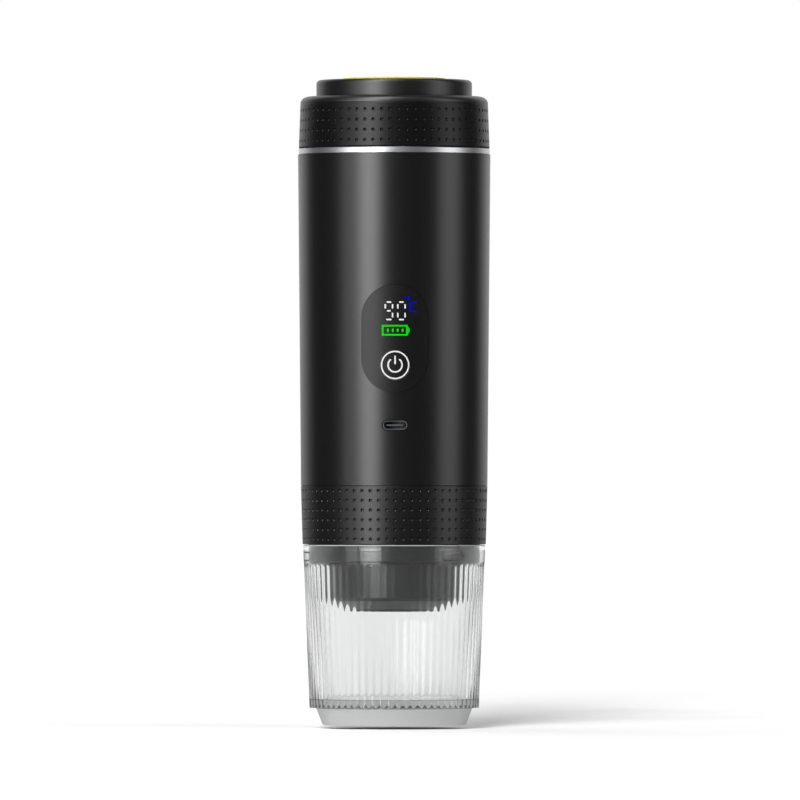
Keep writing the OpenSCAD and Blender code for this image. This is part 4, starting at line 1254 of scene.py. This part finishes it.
@dataclass
class Studio:
    """White floor and surround, soft boxes and the camera of the photograph.

    Attributes are in metres and degrees; wall, room_behind and floor_behind say where on the way back a
    change starts and ends.
    """

    view_width: float = 0.29504
    view_distance: float = 5.2
    view_turn: float = -0.55
    view_end: float = 60.0
    sensor_mm: float = 36.0
    eye_height: float = 0.083
    aim: Point2 = (0.00214, 0.11986)
    ambient: float = 0.03
    wall: Point2 = (0.46, 0.82)
    room_behind: Point2 = (-0.2, 0.3)
    floor_behind: Point2 = (-0.15, 0.05)
    floor_half: float = 4.0
    floor_back: float = 24.0
    floor_z: float = -0.00125
    floor_dim: str = "#5a5a5a"
    floor_white: str = "#f2f2f2"
    floor_through: float = 0.4

    def camera(self) -> None:
        """Sets up a long lens at the photograph's height."""
        lens = bpy.data.cameras.new("front_camera")
        made = bpy.data.objects.new("front_camera", lens)
        bpy.context.scene.collection.objects.link(made)
        across, z = self.aim
        turn = math.radians(self.view_turn)
        aim = Vector((across * math.cos(turn), across * math.sin(turn), z))
        made.location = Vector((aim.x, aim.y, self.eye_height)) + Vector(polar(self.view_distance, turn, 0.0))
        look = aim - made.location
        made.rotation_euler = look.to_track_quat("-Z", "Y").to_euler()
        lens.sensor_width = self.sensor_mm
        lens.lens = self.sensor_mm * look.length / self.view_width
        lens.clip_end = self.view_end
        bpy.context.scene.camera = made

    def seen(self, tree: Tree, along: Socket, behind: Point2) -> Socket:
        """Tells what the lens sees, straight or through clear plastic, from what reflections and shading see.

        Args:
            tree: Node tree that takes the nodes.
            along: Socket that says how far back a place lies.
            behind: Where the part starts and ends that clear plastic also shows by its inner reflections.

        Returns:
            A socket that is 1 for the lens and 0 for the rest.
        """
        path = add_node(tree, "LightPath").outputs
        bounced = combine(tree, "MAXIMUM", path["Glossy Depth"], path["Diffuse Depth"])
        straight = combine(tree, "LESS_THAN", bounced, 0.5)
        shown = combine(tree, "MAXIMUM", straight, soft_step(tree, along, behind))
        through = combine(tree, "MULTIPLY", shown, path["Is Transmission Ray"])
        return combine(tree, "MAXIMUM", through, path["Is Camera Ray"])

    def surround(self) -> None:
        """Makes a dim room whose far wall, behind the object, is white, and which the lens sees as white."""
        world = bpy.data.worlds.new("white_room")
        bpy.context.scene.world = world
        tree = cleared(world)
        back = way_back(tree, "Generated")
        wall = soft_step(tree, back, self.wall, self.ambient)
        level = combine(tree, "MAXIMUM", wall, self.seen(tree, back, self.room_behind))
        sky = add_node(tree, "Background", {"Color": linear(WHITE), "Strength": level})
        add_node(tree, "OutputWorld", {"Surface": sky.outputs["Background"]})

    def paper(self) -> bpy.types.Material:
        """Makes the floor's paper: white to the lens and through clear parts, dim where the object mirrors it.

        Returns:
            The material.
        """
        made = bpy.data.materials.new("paper_sweep_white")
        tree = cleared(made)
        path = add_node(tree, "LightPath").outputs
        seen = self.seen(tree, way_back(tree, "Object"), self.floor_behind)
        white = combine(tree, "MAXIMUM", path["Is Diffuse Ray"], seen)
        tone = blend(tree, white, (0.0, 1.0), (self.floor_dim, self.floor_white))
        matt = add_node(tree, "BsdfDiffuse", {"Color": tone}).outputs["BSDF"]
        bright = add_node(tree, "Emission", {"Color": linear(WHITE), "Strength": 1.0}).outputs["Emission"]
        clear = combine(tree, "MULTIPLY", white, path["Is Transmission Ray"])
        share = combine(tree, "MULTIPLY", clear, self.floor_through)
        both = add_node(tree, "MixShader", {"Fac": share, 1: matt, 2: bright})
        add_node(tree, "OutputMaterial", {"Surface": both.outputs["Shader"]})
        return made

    def floor(self) -> bpy.types.Object:
        """Lays a pale floor that takes the object's shadow, with far lights that reach nothing else.

        Returns:
            The floor.
        """
        side, back, low = self.floor_half, self.floor_back, self.floor_z
        corners = [(-side, -side, low), (side, -side, low), (side, back, low), (-side, back, low)]
        mesh = bpy.data.meshes.new("studio_floor")
        mesh.from_pydata(corners, [], [(0, 1, 2, 3)])
        mesh.materials.append(self.paper())
        made = bpy.data.objects.new("studio_floor", mesh)
        group = bpy.data.collections.new("studio_floor_only")
        bpy.context.scene.collection.children.link(group)
        group.objects.link(made)
        for light in (
            FloorLight("floor_high_light", -20.0, 36.0, 18.0, 0.97),
            FloorLight("floor_middle_light", -12.0, 26.0, 8.0, 1.36),
            FloorLight("floor_low_light", -6.0, 20.0, 8.0, 1.5),
            FloorLight("floor_grazing_light", -6.0, 12.0, 8.0, 1.97),
            FloorLight("floor_left_light", -75.0, 30.0, 40.0, 0.45),
            FloorLight("floor_right_light", 45.0, 50.0, 38.0, 0.55),
            FloorLight("floor_rear_light", -135.0, 50.0, 38.0, 0.57),
        ):
            light.build(group)
        return made

    def lamps(self, floor: bpy.types.Object) -> None:
        """Stands the soft boxes around the object.

        Args:
            floor: The floor, which has its own light.
        """
        lit = bpy.data.collections.new("lit_by_soft_boxes")
        lit.objects.link(floor)
        lit.collection_objects[0].light_linking.link_state = "EXCLUDE"
        for strip in (
            StripLight("left_soft_box", -31.0, 1.1, 0.55, 2.6, 0.75, 3.0),
            StripLight("left_soft_box_core", -30.5, 1.08, 0.29, 2.6, 0.75, 1.95),
            StripLight("left_fill", -57.0, 1.1, 0.32, 2.6, 0.75, 1.05),
            StripLight("right_soft_box", 70.0, 1.1, 0.66, 2.6, 0.75, 0.71),
            StripLight("right_soft_box_core", 69.0, 1.08, 0.38, 2.6, 0.75, 0.64),
            StripLight("top_soft_box", -34.0, 1.2, 0.36, 0.7, 0.2, 5.8, 66.0),
        ):
            strip.build(lit)

    def build(self) -> None:
        """Builds the studio, with light paths long enough for the cup's walls and a plain view transform."""
        scene = bpy.context.scene
        scene.view_settings.view_transform = "Standard"
        scene.cycles.max_bounces = 24
        scene.cycles.glossy_bounces = 16
        scene.cycles.transmission_bounces = 24
        self.camera()
        self.surround()
        self.lamps(self.floor())


HEAD_BAND = DimpledGrip(
    "head_grip_dimpled", "brew_head", "head_grip", HEAD_GRIP, core=32.1, low=(33.8, 66.7), high=(34.4, 88.1),
    first_row=68.6, row_pitch=3.56, rows=6,
)
LID_BAND = DimpledGrip(
    "lid_grip_dimpled", "lid", "lid_grip", GRIP, core=33.1, low=(35.2, 212.7), high=(34.6, 229.2),
    first_row=215.1, row_pitch=3.76, rows=4, turn=0.4,
)
TANK_THREAD = Thread(
    "tank_thread", "housing", "inner_black", INNER, radius=29.3, low=214.4, high=220.0, lead=8.0
)
HEAD_THREAD = Thread(
    "head_thread", "brew_head", "head_black", HEAD, radius=30.8, low=89.9, high=93.7, lead=9.0
)
# Painted shade: a dark ring in the parting gap between brew head and housing stands for the shade there.
GAP_SHADE_RING = GapShadeRing("parting_gap_shade", "brew_head", inner=30.76, outer=34.2, low=88.105, high=88.295)


def main() -> None:
    """Builds the studio, then the object around its frame."""
    logging.basicConfig(level=logging.INFO, format="%(message)s")
    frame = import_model()
    Studio().build()
    FrameDress(frame).dress()
    for piece in (Cup(), HEAD_BAND, LID_BAND):
        piece.build()
    signs = Signs()
    for sign in (signs.temperature, signs.unit, signs.battery, signs.power, signs.ring_mask):
        sign()
    for piece in (TANK_THREAD, HEAD_THREAD, GAP_SHADE_RING):
        piece.build()
    # Painted shade: a dark band around the charging socket stands for the shade in its gap.
    Signs(sink=0.0).port_gap_shade()
    tongue = SocketTongue()
    tongue.contacts()
    tongue.nose()


if __name__ == "__main__":
    main()
